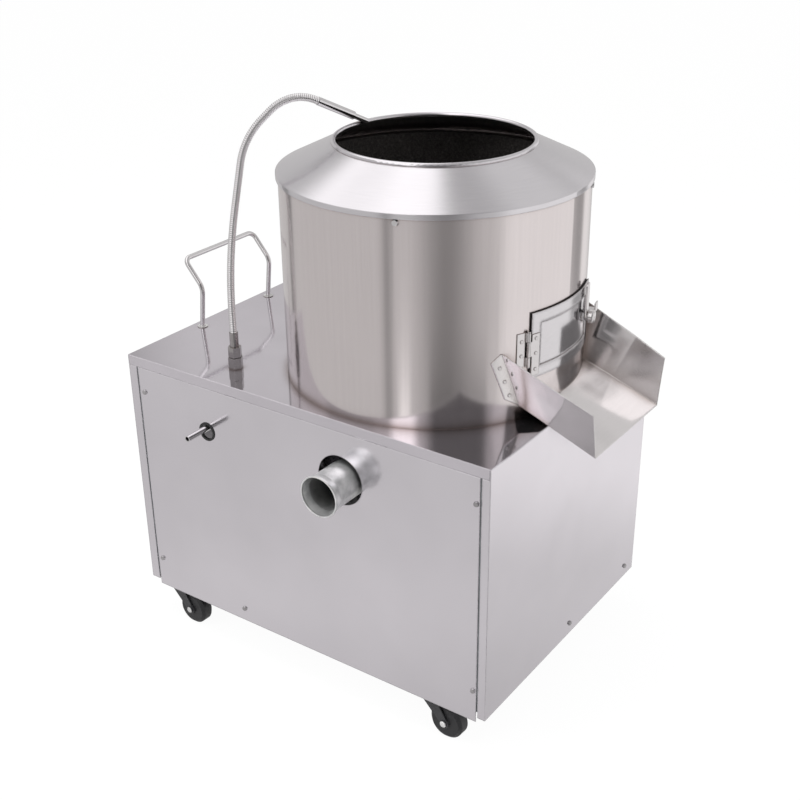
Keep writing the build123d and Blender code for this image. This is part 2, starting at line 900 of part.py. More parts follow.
def build_drum_rivets():
    """Rivets of the chute, the fixed hinge leaf and the latch keeper."""
    with BuildPart() as drum_rivets:
        for plane in drum_rivet_planes():
            rivet(plane, leaf_wall + drum_wall)
    return drum_rivets


# ---------------------------------------------------------------- chute
def chute_trough(inset, rise):
    """Solid inside the trough outline, moved in by the inset and raised by the rise."""
    slope = radians(chute_slope)
    with BuildPart() as trough:
        for run, half_foot, half_top, height in chute_sections:
            plane = Plane(
                origin=(
                    drum_radius + run * cos(slope),
                    0,
                    chute_root_z - run * sin(slope),
                ),
                x_dir=(0, 1, 0),
                z_dir=(cos(slope), 0, -sin(slope)),
            )
            lean = (half_top - half_foot) / height
            foot = half_foot - inset + lean * inset
            top = half_foot - inset + lean * (height + rise)
            with BuildSketch(plane):
                with BuildLine():
                    Polyline(
                        (-foot, inset),
                        (foot, inset),
                        (top, height + rise),
                        (-top, height + rise),
                        close=True,
                    )
                make_face()
        loft(ruled=True)
    return trough.part


def chute_flange():
    """Curved strip on the drum along one chute wall."""
    run = wall_top[0] - wall_foot[0]
    rise = wall_top[1] - wall_foot[1]
    length = (run**2 + rise**2) ** 0.5
    down = (-run / length, -rise / length)
    out = (rise / length, -run / length)
    outline = [
        wall_top,
        (
            wall_top[0] + down[0] * flange_top_cut + out[0] * flange_strip,
            wall_top[1] + down[1] * flange_top_cut + out[1] * flange_strip,
        ),
        (
            wall_foot[0] - down[0] * flange_foot_cut + out[0] * flange_strip,
            wall_foot[1] - down[1] * flange_foot_cut + out[1] * flange_strip,
        ),
        wall_foot,
        (wall_foot[0] - 2 * chute_wall, wall_foot[1]),
        (wall_top[0] - 2 * chute_wall, wall_top[1]),
    ]
    with BuildPart() as strip:
        curved(drum_radius, drum_radius + leaf_wall, 0, quarter_turn, top_z, wall_top[1])
        with BuildSketch(Plane.YZ) as side:
            with BuildLine():
                Polyline(*outline, close=True)
            make_face()
        extrude(side.sketch, amount=chute_end_x, mode=Mode.INTERSECT)
    return strip.part


def build_chute():
    """Sloping discharge trough with two leaning walls and two riveted flanges."""
    outside = chute_trough(0, 0)
    inside = chute_trough(chute_wall, 3 * chute_wall)
    flange = chute_flange()
    with BuildPart() as chute:
        add(outside)
        add(inside, mode=Mode.SUBTRACT)
        rod(0, 0, 0, 2 * top_z, drum_radius, mode=Mode.SUBTRACT)
        slab(chute_end_x, 2 * chute_end_x, -chute_end_x, chute_end_x, 0, top_z * 2, mode=Mode.SUBTRACT)
        add(flange)
        add(flange.mirror(Plane.XZ))
        for step in chute_rivet_steps:
            azimuth, z = along_wall(step, flange_strip / 2)
            for turn in (azimuth, -azimuth):
                hole(outward_plane(turn, drum_radius, z), rivet_radius, 2 * leaf_wall)
    return chute


# ---------------------------------------------------------------- door


def build_door_panel():
    """Curved door sheet with a pressed middle and the latch boss."""
    inner_half = door_half_angle - recess_angle
    wall_angle = degrees(door_wall / door_outer)
    with BuildPart() as door_panel:
        curved(door_inner, door_outer, -door_half_angle, door_half_angle, door_bottom, door_top)
        curved(
            door_inner - recess_depth,
            door_inner,
            -inner_half,
            inner_half,
            door_bottom + recess_margin,
            door_top - recess_margin,
        )
        curved(
            door_skin_outer,
            door_outer + door_wall,
            -inner_half + wall_angle,
            inner_half - wall_angle,
            door_bottom + recess_margin + door_wall,
            door_top - recess_margin - door_wall,
            mode=Mode.SUBTRACT,
        )
        with BuildSketch(outward_plane(latch_azimuth, door_skin_outer - door_wall / 2, latch_z)) as boss:
            Circle(latch_boss_radius)
        extrude(boss.sketch, amount=latch_boss_height + door_wall / 2)
        with BuildSketch(outward_plane(latch_azimuth, door_skin_outer, latch_z)) as bore:
            Circle(latch_spindle + running_gap)
        extrude(bore.sketch, amount=2 * latch_boss_height, mode=Mode.SUBTRACT)
        for z in door_hinge_rivet_z:
            hole(outward_plane(door_hinge_rivet_azimuth, door_outer, z), rivet_radius, 2 * door_wall)
    return door_panel


def build_door_gasket():
    """Rubber frame between the door and the drum."""
    outer_half = door_half_angle - degrees(gasket_inset / drum_radius)
    inner_half = opening_half_angle + degrees(gasket_inset / drum_radius)
    with BuildPart() as door_gasket:
        curved(
            gasket_inner,
            door_inner,
            -outer_half,
            outer_half,
            door_bottom + gasket_inset,
            door_top - gasket_inset,
        )
        curved(
            gasket_inner - gasket_inset,
            door_inner + gasket_inset,
            -inner_half,
            inner_half,
            opening_bottom - gasket_inset,
            opening_top + gasket_inset,
            mode=Mode.SUBTRACT,
        )
        for z in door_hinge_rivet_z:
            hole(outward_plane(door_hinge_rivet_azimuth, door_inner, z), rivet_radius, past + door_wall)
    return door_gasket


def build_door_plug():
    """Abrasive block on the back of the door that fills the opening."""
    half = opening_half_angle - degrees(plug_gap / drum_radius)
    with BuildPart() as door_plug:
        curved(
            liner_inner + plug_inset,
            door_inner - recess_depth,
            -half,
            half,
            opening_bottom + plug_gap,
            opening_top - plug_gap,
        )
    return door_plug


def knuckle(z_from, z_to, bore):
    """Hinge barrel around the door axis."""
    x, y, _ = radial(hinge_azimuth, hinge_radius, 0)
    rod(x, y, z_from, z_to, knuckle_radius)
    rod(x, y, z_from, z_to, bore, mode=Mode.SUBTRACT)


def build_hinge_leaf_drum():
    """Fixed hinge leaf with two barrels."""
    low, high = middle_knuckle_z
    web_from = hinge_azimuth - degrees(knuckle_radius / hinge_radius) - knuckle_relief
    web_to = hinge_azimuth - degrees((pin_radius + knuckle_radius) / 2 / hinge_radius)
    with BuildPart() as hinge_leaf_drum:
        curved(drum_radius, drum_radius + leaf_wall, *drum_leaf_angles, *drum_leaf_z)
        for z_from, z_to in ((drum_leaf_z[0], low - knuckle_gap), (high + knuckle_gap, drum_leaf_z[1])):
            curved(drum_radius + leaf_wall / 2, hinge_radius, web_from, web_to, z_from, z_to)
            knuckle(z_from, z_to, pin_radius)
        curved(
            drum_radius - past,
            hinge_radius + past,
            web_from,
            drum_leaf_angles[1] + knuckle_relief,
            low - knuckle_gap,
            high + knuckle_gap,
            mode=Mode.SUBTRACT,
        )
        for z in drum_hinge_rivet_z:
            hole(outward_plane(drum_hinge_rivet_azimuth, drum_radius, z), rivet_radius, 2 * leaf_wall)
    return hinge_leaf_drum


def build_hinge_leaf_door():
    """Moving hinge leaf on the door with the middle barrel."""
    low, high = middle_knuckle_z
    with BuildPart() as hinge_leaf_door:
        curved(door_outer, door_outer + leaf_wall, *door_leaf_angles, *door_leaf_z)
        for z_from, z_to in ((door_leaf_z[0], low), (high, door_leaf_z[1])):
            curved(
                door_outer - past,
                door_outer + leaf_wall + past,
                door_leaf_angles[0] - knuckle_relief,
                -door_half_angle,
                z_from,
                z_to,
                mode=Mode.SUBTRACT,
            )
        knuckle(low, high, pin_radius + running_gap)
        for z in door_hinge_rivet_z:
            hole(outward_plane(door_hinge_rivet_azimuth, door_outer, z), rivet_radius, 2 * leaf_wall)
    return hinge_leaf_door


def build_hinge_pin():
    """Hinge pin fixed in the drum leaf, with a head at each end."""
    x, y, _ = radial(hinge_azimuth, hinge_radius, 0)
    with BuildPart() as hinge_pin:
        rod(x, y, drum_leaf_z[0], drum_leaf_z[1], pin_radius)
        rod(x, y, drum_leaf_z[0] - pin_overhang, drum_leaf_z[0], pin_head_radius)
        rod(x, y, drum_leaf_z[1], drum_leaf_z[1] + pin_overhang, pin_head_radius)
    return hinge_pin


def build_door_rivets():
    """Rivets of the moving hinge leaf."""
    seat = door_outer + leaf_wall + rivet_seat
    with BuildPart() as door_rivets:
        for z in door_hinge_rivet_z:
            rivet(outward_plane(door_hinge_rivet_azimuth, seat, z), leaf_wall + door_wall)
    return door_rivets


def build_door_latch():
    """Turning latch bar with its spindle, shown upright where it frees the door."""
    plane = outward_plane(latch_azimuth, latch_bar_radius, latch_z)
    with BuildPart() as door_latch:
        with BuildSketch(plane) as bar:
            with BuildLine():
                Line((-latch_width / 2, 0), (-latch_width / 2, latch_length - latch_width / 2))
                ThreePointArc(
                    (-latch_width / 2, latch_length - latch_width / 2),
                    (0, latch_length),
                    (latch_width / 2, latch_length - latch_width / 2),
                )
                Line((latch_width / 2, latch_length - latch_width / 2), (latch_width / 2, 0))
                ThreePointArc((latch_width / 2, 0), (0, -latch_width / 2), (-latch_width / 2, 0))
            make_face()
        extrude(bar.sketch, amount=latch_thickness)
        with BuildSketch(plane) as spindle:
            Circle(latch_spindle)
        extrude(spindle.sketch, amount=-(latch_boss_height + latch_lift - seam))
    return door_latch


def build_latch_knob():
    """Round grip on the latch bar."""
    plane = outward_plane(latch_azimuth, latch_bar_radius + latch_thickness, latch_z)
    with BuildPart() as latch_knob:
        with BuildSketch(plane) as neck:
            Circle(latch_width / 2)
        extrude(neck.sketch, amount=knob_neck)
        with BuildSketch(plane.offset(knob_neck)) as grip:
            Circle(knob_radius)
        extrude(grip.sketch, amount=knob_height - knob_neck)
        rim = latch_knob.faces().filter_by(GeomType.PLANE).sort_by_distance(plane.origin)[-1]
        fillet(rim.edges(), knob_edge)
    return latch_knob


def build_latch_keeper():
    """Hook on the drum that the turned latch bar slides under."""
    plane = outward_plane(latch_azimuth, 0, latch_z)
    reach = latch_bar_radius + latch_thickness + keeper_play + keeper_lip
    foot = -latch_width / 2 - keeper_play
    middle = (keeper_from + keeper_to) / 2
    width = keeper_to - keeper_from
    with BuildPart() as latch_keeper:
        with BuildSketch(plane) as wall:
            with Locations((middle, foot - keeper_wall / 2)):
                Rectangle(width, keeper_wall)
        extrude(wall.sketch, amount=reach)
        with BuildSketch(plane) as lip:
            with Locations((middle, foot + keeper_lip_reach / 2 - keeper_wall)):
                Rectangle(width, keeper_lip_reach)
        extrude(lip.sketch, amount=reach)
        with BuildSketch(plane) as free:
            with Locations((middle, foot + keeper_lip_reach / 2)):
                Rectangle(width + past, keeper_lip_reach)
        extrude(free.sketch, amount=reach - keeper_lip, mode=Mode.SUBTRACT)
        rod(0, 0, 0, 2 * top_z, drum_radius, mode=Mode.SUBTRACT)
        curved(
            drum_radius,
            drum_radius + leaf_wall,
            latch_azimuth + degrees(atan2(keeper_from, drum_radius)),
            latch_azimuth + degrees(atan2(keeper_to, drum_radius)),
            latch_z + foot - keeper_base,
            latch_z + foot,
        )
        seat = outward_plane(keeper_azimuth, drum_radius, latch_z - latch_width / 2 - keeper_rivet_drop)
        hole(seat, rivet_radius, 2 * leaf_wall)
    return latch_keeper


# ---------------------------------------------------------------- catch pan and drain
drain_axis = Axis((0, 0, drain_z), (0, -1, 0))
drain_plane = Plane(origin=(0, 0, drain_z), x_dir=(0, -1, 0), z_dir=(-1, 0, 0))


def build_catch_pan():
    """Round pan under the drum with a rim below the cabinet top and a drain hole."""
    rim_z = top_z - skin
    with BuildPart() as catch_pan:
        curved(pan_radius, pan_radius + pan_wall, 0, 360, pan_outer_bottom, rim_z)
        curved(pan_radius, pan_radius + pan_flange, 0, 360, rim_z - pan_wall, rim_z)
        curved(barrel_radius + seam, pan_radius, 0, 360, pan_outer_bottom, pan_floor)
        for x, y, _ in drum_bolt_points:
            rod(x, y, rim_z - pan_wall, rim_z, bolt_radius, mode=Mode.SUBTRACT)
        with BuildSketch(Plane(origin=(0, 0, drain_z), z_dir=(0, -1, 0))) as bore:
            Circle(drain_radius - drain_wall)
        extrude(bore.sketch, amount=half_depth, mode=Mode.SUBTRACT)
    return catch_pan


def build_drain_pipe():
    """Drain pipe from the pan wall through the front panel, with a flared mouth."""
    end = half_depth + drain_reach
    outline = [
        (saddle_start, drain_radius - drain_wall),
        (saddle_start, drain_radius),
        (end - mouth_lip - mouth_cone, drain_radius),
        (end - mouth_lip, drain_mouth_radius),
        (end, drain_mouth_radius),
        (end, drain_mouth_radius - drain_wall),
        (end - mouth_lip, drain_mouth_radius - drain_wall),
        (end - mouth_lip - mouth_cone, drain_radius - drain_wall),
    ]
    with BuildPart() as drain_pipe:
        turned(outline, drain_plane, drain_axis)
        rod(0, 0, 0, 2 * top_z, pan_radius + pan_wall, mode=Mode.SUBTRACT)
    return drain_pipe


# ---------------------------------------------------------------- shaft and bearings


def build_bearing_housing():
    """Housing with a flange below the bearing plate and a barrel that passes the pan floor."""
    plate = bearing_plate_bottom
    outline = [
        (bearing_outer, barrel_bottom),
        (barrel_radius, barrel_bottom),
        (barrel_radius, plate - housing_flange),
        (housing_flange_radius, plate - housing_flange),
        (housing_flange_radius, plate),
        (barrel_radius, plate),
        (barrel_radius, barrel_top),
        (bearing_outer, barrel_top),
        (bearing_outer, upper_bearing_z),
        (housing_waist, upper_bearing_z),
        (housing_waist, lower_bearing_z + bearing_width),
        (bearing_outer, lower_bearing_z + bearing_width),
    ]
    with BuildPart() as bearing_housing:
        turned(outline, Plane.XZ, Axis.Z)
        for x, y, _ in housing_bolt_points:
            rod(x, y, plate - housing_flange, plate, bolt_radius, mode=Mode.SUBTRACT)
    return bearing_housing


def build_shaft_bearings():
    """Two ball bearings of the drive shaft."""
    bore = shaft_radius + running_gap
    groove = (bearing_outer + shaft_radius) / 2
    with BuildPart() as shaft_bearings:
        for z in (lower_bearing_z, upper_bearing_z):
            curved(bore, bearing_outer, 0, 360, z, z + bearing_width)
            for z_cut in (z, z + bearing_width):
                curved(
                    groove - shield_half,
                    groove + shield_half,
                    0,
                    360,
                    z_cut - shield_depth,
                    z_cut + shield_depth,
                    mode=Mode.SUBTRACT,
                )
    return shaft_bearings


def build_shaft_seal():
    """Rubber seal above the upper bearing."""
    z = barrel_top - seal_height
    middle = z + seal_height / 2
    outline = [
        (shaft_radius + running_gap, middle - seal_lip),
        (shaft_radius + running_gap, middle + seal_lip),
        (shaft_radius + seal_flare, z + seal_height),
        (bearing_outer, z + seal_height),
        (bearing_outer, z),
        (shaft_radius + seal_flare, z),
    ]
    with BuildPart() as shaft_seal:
        turned(outline, Plane.XZ, Axis.Z)
    return shaft_seal


def build_main_shaft():
    """Upright drive shaft with a pulley seat below and a thread on top."""
    bottom = pulley_z - pulley_hub_half
    outline = [
        (0, bottom - shaft_tail),
        (pulley_seat_radius, bottom - shaft_tail),
        (pulley_seat_radius, pulley_z + pulley_hub_half),
        (shaft_radius, pulley_z + pulley_hub_half),
        (shaft_radius, grit_bottom),
        (thread_radius, grit_bottom),
        (thread_radius, grit_bottom + thread_height),
        (0, grit_bottom + thread_height),
    ]
    with BuildPart() as main_shaft:
        turned(outline, Plane.XZ, Axis.Z)
    return main_shaft


def pulley_outline(radius, bore, hub, hub_half, web_half):
    """Half section of a pulley with one V groove."""
    slope = (belt_top - belt_bottom) / 2 / belt_depth
    back = radius - belt_seat
    rim_half = belt_top / 2 + belt_gap + slope * belt_seat
    root = back - belt_depth - groove_relief
    root_half = belt_bottom / 2 + belt_gap - slope * groove_relief
    half = pulley_width / 2
    rim_inner = root - pulley_rim
    return [
        (bore, -hub_half),
        (hub, -hub_half),
        (hub, -web_half),
        (rim_inner, -web_half),
        (rim_inner, -half),
        (radius, -half),
        (radius, -rim_half),
        (root, -root_half),
        (root, root_half),
        (radius, rim_half),
        (radius, half),
        (rim_inner, half),
        (rim_inner, web_half),
        (hub, web_half),
        (hub, hub_half),
        (bore, hub_half),
    ]


def build_driven_pulley():
    """Large V pulley on the drive shaft, with round holes in its web."""
    outline = pulley_outline(
        pulley_radius, pulley_seat_radius, pulley_hub_radius, pulley_hub_half, web_half
    )
    points = [(r, z + pulley_z) for r, z in outline]
    with BuildPart() as driven_pulley:
        turned(points, Plane.XZ, Axis.Z)
        with PolarLocations(web_hole_circle_radius, web_hole_count):
            Cylinder(web_hole_radius, 2 * pulley_z + pulley_width, mode=Mode.SUBTRACT)
    return driven_pulley


def build_peel_sweeper():
    """Two arms on the shaft that push peel to the drain."""
    floor = pan_floor + sweeper_floor_gap
    with BuildPart() as peel_sweeper:
        rod(0, 0, sweeper_bottom, sweeper_top, sweeper_hub)
        with BuildSketch(Plane.XY.rotated((0, 0, sweeper_turn)).offset(sweeper_bottom)) as arm:
            Rectangle(2 * sweeper_reach, sweeper_plate)
        extrude(arm.sketch, amount=sweeper_top - sweeper_bottom)
        blade_from = barrel_radius + sweeper_floor_gap
        middle = (blade_from + sweeper_reach) / 2
        with BuildSketch(Plane.XY.rotated((0, 0, sweeper_turn)).offset(floor)) as blade:
            with Locations((middle, 0), (-middle, 0)):
                Rectangle(sweeper_reach - blade_from, sweeper_plate)
        extrude(blade.sketch, amount=sweeper_top - floor)
        rod(0, 0, sweeper_bottom, sweeper_top, shaft_radius, mode=Mode.SUBTRACT)
    return peel_sweeper


def build_disc_casting():
    """Turning disc with its hub."""
    with BuildPart() as disc_casting:
        curved(shaft_radius, disc_radius, 0, 360, disc_plate_bottom, grit_bottom)
        curved(shaft_radius, hub_radius, 0, 360, disc_plate_bottom - hub_height, disc_plate_bottom)
        with BuildSketch(Plane.XY.offset(disc_plate_bottom - rib_height)) as ribs:
            with PolarLocations((hub_radius + rib_reach) / 2, rib_count):
                Rectangle(rib_reach - hub_radius + past, rib_width)
        extrude(ribs.sketch, amount=rib_height)
    return disc_casting


def build_disc_grit():
    """Abrasive layer on the disc with three radial waves."""
    with BuildPart() as disc_grit:
        curved(grit_bore, disc_radius, 0, 360, grit_bottom, disc_top)
        for k in range(wave_count):
            with BuildSketch(wave_plane(wave_azimuth + 360 / wave_count * k)) as wave:
                with BuildLine():
                    ThreePointArc((-wave_width / 2, 0), (0, wave_height), (wave_width / 2, 0))
                    Line((wave_width / 2, 0), (-wave_width / 2, 0))
                make_face()
            extrude(wave.sketch, amount=wave_to - wave_from)
    return disc_grit


def wave_plane(azimuth):
    """Plane across a radial wave at its inner end."""
    return Plane(
        origin=radial(azimuth, wave_from, disc_top),
        x_dir=radial(azimuth + 90, 1, 0),
        z_dir=radial(azimuth, 1, 0),
    )


def build_disc_nut():
    """Washer and nut that hold the disc."""
    with BuildPart() as disc_nut:
        curved(thread_radius, cap_washer_radius, 0, 360, grit_bottom, grit_bottom + cap_washer)
        with BuildSketch(Plane.XY.offset(grit_bottom + cap_washer)) as nut:
            RegularPolygon(cap_nut_radius, 6)
            Circle(thread_radius, mode=Mode.SUBTRACT)
        extrude(nut.sketch, amount=cap_nut_height)
    return disc_nut


# ---------------------------------------------------------------- motor and belt


def build_motor_housing():
    """Motor shell with its drive-end flange, fins and top cover."""
    with BuildPart() as motor_housing:
        with BuildSketch(Plane.XY.offset(motor_z)) as flange:
            with Locations((-motor_distance, 0)):
                RectangleRounded(2 * motor_flange_half, 2 * motor_flange_half, motor_flange_corner)
            with Locations(*motor_bolt_points):
                Circle(bolt_radius, mode=Mode.SUBTRACT)
        extrude(flange.sketch, amount=motor_flange)
        rod(-motor_distance, 0, motor_z, motor_top_z, motor_radius - motor_fin_depth)
        with BuildSketch(Plane.XY.offset(motor_z + motor_flange + fin_foot)) as fins:
            with Locations((-motor_distance, 0)):
                with PolarLocations(motor_radius - motor_fin_depth, motor_fin_count):
                    Rectangle(2 * motor_fin_depth, motor_fin_width)
        extrude(fins.sketch, amount=motor_length - fin_foot - motor_fin_gap)
        rod(-motor_distance, 0, motor_top_z, motor_top_z + motor_cover_height, motor_radius)
        rod(
            -motor_distance,
            0,
            motor_z + motor_flange,
            motor_top_z - motor_flange,
            motor_bore,
            mode=Mode.SUBTRACT,
        )
        rod(
            -motor_distance,
            0,
            motor_z,
            motor_top_z + rotor_top + motor_fin_gap,
            motor_shaft_radius + running_gap,
            mode=Mode.SUBTRACT,
        )
    return motor_housing


def build_motor_rotor():
    """Rotor core and motor shaft, with the shaft end down."""
    with BuildPart() as motor_rotor:
        rod(
            -motor_distance,
            0,
            pulley_z - pulley_width / 2 - shaft_tail,
            motor_top_z + rotor_top,
            motor_shaft_radius,
        )
        rod(
            -motor_distance,
            0,
            motor_z + rotor_core_from,
            motor_z + rotor_core_from + rotor_core_height,
            rotor_core_radius,
        )
    return motor_rotor


def build_motor_pulley():
    """Small V pulley on the motor shaft."""
    half = pulley_width / 2
    outline = pulley_outline(
        motor_pulley_radius, motor_shaft_radius, small_hub_radius, half, half - small_web_inset
    )
    points = [(r - motor_distance, z + pulley_z) for r, z in outline]
    with BuildPart() as motor_pulley:
        turned(points, Plane.XZ, Axis((-motor_distance, 0, 0), (0, 0, 1)))
    return motor_pulley


def build_drive_belt():
    """V belt around both pulleys."""
    big = pulley_radius - belt_seat - belt_depth
    small = motor_pulley_radius - belt_seat - belt_depth
    nx = -(big - small) / motor_distance
    ny = (1 - nx**2) ** 0.5
    with BuildLine(Plane.XY.offset(pulley_z)) as route:
        ThreePointArc((big * nx, big * ny), (big, 0), (big * nx, -big * ny))
        Line((big * nx, -big * ny), (small * nx - motor_distance, -small * ny))
        ThreePointArc(
            (small * nx - motor_distance, -small * ny),
            (-motor_distance - small, 0),
            (small * nx - motor_distance, small * ny),
        )
        Line((small * nx - motor_distance, small * ny), (big * nx, big * ny))
    start = Plane(origin=(big * nx, big * ny, pulley_z), x_dir=(nx, ny, 0), z_dir=(ny, -nx, 0))
    with BuildPart() as drive_belt:
        with BuildSketch(start) as section:
            with BuildLine():
                Polyline(
                    (0, -belt_bottom / 2),
                    (belt_depth, -belt_top / 2),
                    (belt_depth, belt_top / 2),
                    (0, belt_bottom / 2),
                    close=True,
                )
            make_face()
        sweep(section.sketch, path=route.wire())
    return drive_belt


def hex_bolt(x, y, z, length, way):
    """Hexagon bolt: head outside the seat at z, shank along the way (+1 up, -1 down)."""
    with BuildSketch(Plane.XY.offset(z)) as head:
        with Locations((x, y)):
            RegularPolygon(bolt_head, 6)
    extrude(head.sketch, amount=-way * bolt_head_height)
    rod(x, y, z, z + way * length, bolt_radius)


def hex_nut(x, y, z, way):
    """Hexagon nut on the seat at z, growing along the way."""
    with BuildSketch(Plane.XY.offset(z)) as body:
        with Locations((x, y)):
            RegularPolygon(bolt_head, 6)
            Circle(bolt_radius, mode=Mode.SUBTRACT)
    extrude(body.sketch, amount=way * nut_height)


def build_frame_bolts():
    """Equal hexagon bolts of the drum lip, the bearing housing and the motor."""
    drum_stack = drum_lip + skin + pan_wall
    plate_stack = housing_flange + plate_thickness
    motor_stack = motor_flange + plate_thickness
    with BuildPart() as frame_bolts:
        for x, y, _ in drum_bolt_points:
            hex_bolt(x, y, top_z + drum_lip, drum_stack + nut_height, -1)
        for x, y, _ in housing_bolt_points:
            hex_bolt(x, y, bearing_plate_bottom - housing_flange, plate_stack + bolt_end, 1)
        for x, y in motor_bolt_points:
            hex_bolt(x, y, motor_z + motor_flange, motor_stack + nut_height, -1)
    return frame_bolts


def build_frame_nuts():
    """Equal nuts of the frame bolts."""
    with BuildPart() as frame_nuts:
        for x, y, _ in drum_bolt_points:
            hex_nut(x, y, top_z - skin - pan_wall, -1)
        for x, y, _ in housing_bolt_points:
            hex_nut(x, y, rail_bottom, 1)
        for x, y in motor_bolt_points:
            hex_nut(x, y, bearing_plate_bottom, -1)
    return frame_nuts


# ---------------------------------------------------------------- water line
arm_plane = Plane(
    origin=(arm_x, arm_y, top_z),
    x_dir=radial(arm_azimuth, 1, 0),
    z_dir=radial(arm_azimuth - 90, 1, 0),
)


def pipe_path():
    """Route of the water pipe from its stub to the fitting."""
    with BuildLine() as route:
        FilletPolyline(
            (inlet_x, front_y - inlet_reach, inlet_z),
            (inlet_x, pipe_turn_y, inlet_z),
            (arm_x, arm_y, pipe_rise_z),
            (arm_x, arm_y, pipe_top),
            radius=pipe_bend,
        )
    return route.wire()


def build_water_inlet_pipe():
    """Plated pipe from the hose stub to the arm fitting."""
    path = pipe_path()
    mouth = Plane(origin=(inlet_x, front_y - inlet_reach, inlet_z), z_dir=(0, 1, 0))
    with BuildPart() as water_inlet_pipe:
        with BuildSketch(mouth) as wall:
            Circle(inlet_radius)
        sweep(wall.sketch, path=path)
        with BuildSketch(mouth) as bore:
            Circle(inlet_bore)
        sweep(bore.sketch, path=path, mode=Mode.SUBTRACT)
    return water_inlet_pipe


def build_inlet_grommet():
    """Rubber ring in the inlet hole of the front panel."""
    lip = grommet_lip
    outline = [
        (inlet_hole_radius - grommet_wall, -lip),
        (inlet_hole_radius + grommet_wall, -lip),
        (inlet_hole_radius + grommet_wall, 0),
        (inlet_hole_radius, 0),
        (inlet_hole_radius, skin),
        (inlet_hole_radius + grommet_wall, skin),
        (inlet_hole_radius + grommet_wall, skin + lip),
        (inlet_hole_radius - grommet_wall, skin + lip),
    ]
    z = inlet_z - inlet_hole_drop
    centre = Plane(origin=(inlet_x, front_y, z), x_dir=(1, 0, 0), z_dir=(0, 0, 1))
    with BuildPart() as inlet_grommet:
        turned(outline, centre, Axis((inlet_x, front_y, z), (0, 1, 0)))
    return inlet_grommet


def build_arm_fitting():
    """Hexagon fitting and collar at the foot of the water arm."""
    base = Plane.XY.offset(top_z)
    with BuildPart() as arm_fitting:
        with BuildSketch(base) as locknut:
            with Locations((arm_x, arm_y)):
                RegularPolygon(locknut_radius, 6)
        extrude(locknut.sketch, amount=locknut_height)
        rod(arm_x, arm_y, top_z, top_z + collar_top, collar_radius)
        with BuildSketch(base.offset(locknut_height + fitting_gap)) as socket:
            with Locations((arm_x, arm_y)):
                RegularPolygon(socket_radius, 6)
        extrude(socket.sketch, amount=socket_top - locknut_height - fitting_gap)
        rod(
            arm_x,
            arm_y,
            top_z + arm_route[0][1],
            top_z + collar_top,
            arm_radius + running_gap,
            mode=Mode.SUBTRACT,
        )
        rod(arm_x, arm_y, top_z, top_z + arm_route[0][1], arm_bore, mode=Mode.SUBTRACT)
        rod(arm_x, arm_y, top_z, pipe_top, inlet_radius, mode=Mode.SUBTRACT)
    return arm_fitting


def build_gooseneck_arm():
    """Bent water arm from the fitting to the nozzle."""
    with BuildLine(arm_plane) as route:
        FilletPolyline(*arm_route, radius=arm_bends)
    (x0, z0), (x1, z1) = arm_route[:2]
    lean = atan2(x1 - x0, z1 - z0)
    foot = Plane(
        origin=arm_plane.from_local_coords((x0, z0, 0)),
        z_dir=arm_plane.x_dir * sin(lean) + Vector(0, 0, cos(lean)),
    )
    with BuildPart() as gooseneck_arm:
        with BuildSketch(foot) as wall:
            Circle(arm_radius)
            Circle(arm_bore, mode=Mode.SUBTRACT)
        sweep(wall.sketch, path=route.wire())
    return gooseneck_arm


def build_arm_nozzle():
    """Plain nozzle sleeve with a thinner spout, in line with the end of the arm."""
    (x0, z0), (x1, z1) = arm_route[-2:]
    seat = Plane(
        origin=arm_plane.from_local_coords((x1, z1, 0)),
        z_dir=arm_plane.x_dir * (x1 - x0) + Vector(0, 0, z1 - z0),
    )
    with BuildPart() as arm_nozzle:
        with BuildSketch(seat) as sleeve:
            Circle(nozzle_radius)
        extrude(sleeve.sketch, amount=nozzle_length)
        with BuildSketch(seat.offset(nozzle_length)) as spout:
            Circle(tip_radius)
        extrude(spout.sketch, amount=tip_length)
        with BuildSketch(seat) as bore:
            Circle(arm_bore)
        extrude(bore.sketch, amount=nozzle_length + tip_length, mode=Mode.SUBTRACT)
    return arm_nozzle


# ---------------------------------------------------------------- handle


def build_grab_handle():
    """Bent rod handle that leans outward over the left side."""
    top = top_z + handle_height
    knee = top_z + handle_leg
    seat = top_z + handle_seat
    foot = top_z - handle_tail
    with BuildLine() as route:
        FilletPolyline(
            (handle_x, handle_front_y, foot),
            (handle_x, handle_front_y, seat),
            (handle_x + handle_knee_shift, handle_front_y, knee),
            (handle_x - handle_lean, handle_front_y, top),
            (handle_x - handle_lean, handle_back_y, top),
            (handle_x + handle_knee_shift, handle_back_y, knee),
            (handle_x, handle_back_y, seat),
            (handle_x, handle_back_y, foot),
            radius=(
                handle_seat_bend,
                handle_leg_bend,
                handle_corner,
                handle_corner,
                handle_leg_bend,
                handle_seat_bend,
            ),
        )
    with BuildPart() as grab_handle:
        with BuildSketch(Plane(origin=(handle_x, handle_front_y, foot))) as section:
            Circle(handle_rod)
        sweep(section.sketch, path=route.wire())
    return grab_handle


def build_handle_nuts():
    """Washers above and nuts below the cabinet top on both handle legs."""
    with BuildPart() as handle_nuts:
        for x, y in handle_points:
            rod(x, y, top_z, top_z + washer_height, washer_radius)
            with BuildSketch(Plane.XY.offset(top_z - skin)) as nut:
                with Locations((x, y)):
                    RegularPolygon(handle_nut_radius, 6)
            extrude(nut.sketch, amount=-handle_nut_height)
            rod(x, y, top_z - 2 * handle_tail, top_z + 2 * handle_tail, handle_rod, mode=Mode.SUBTRACT)
    return handle_nuts


# ---------------------------------------------------------------- casters


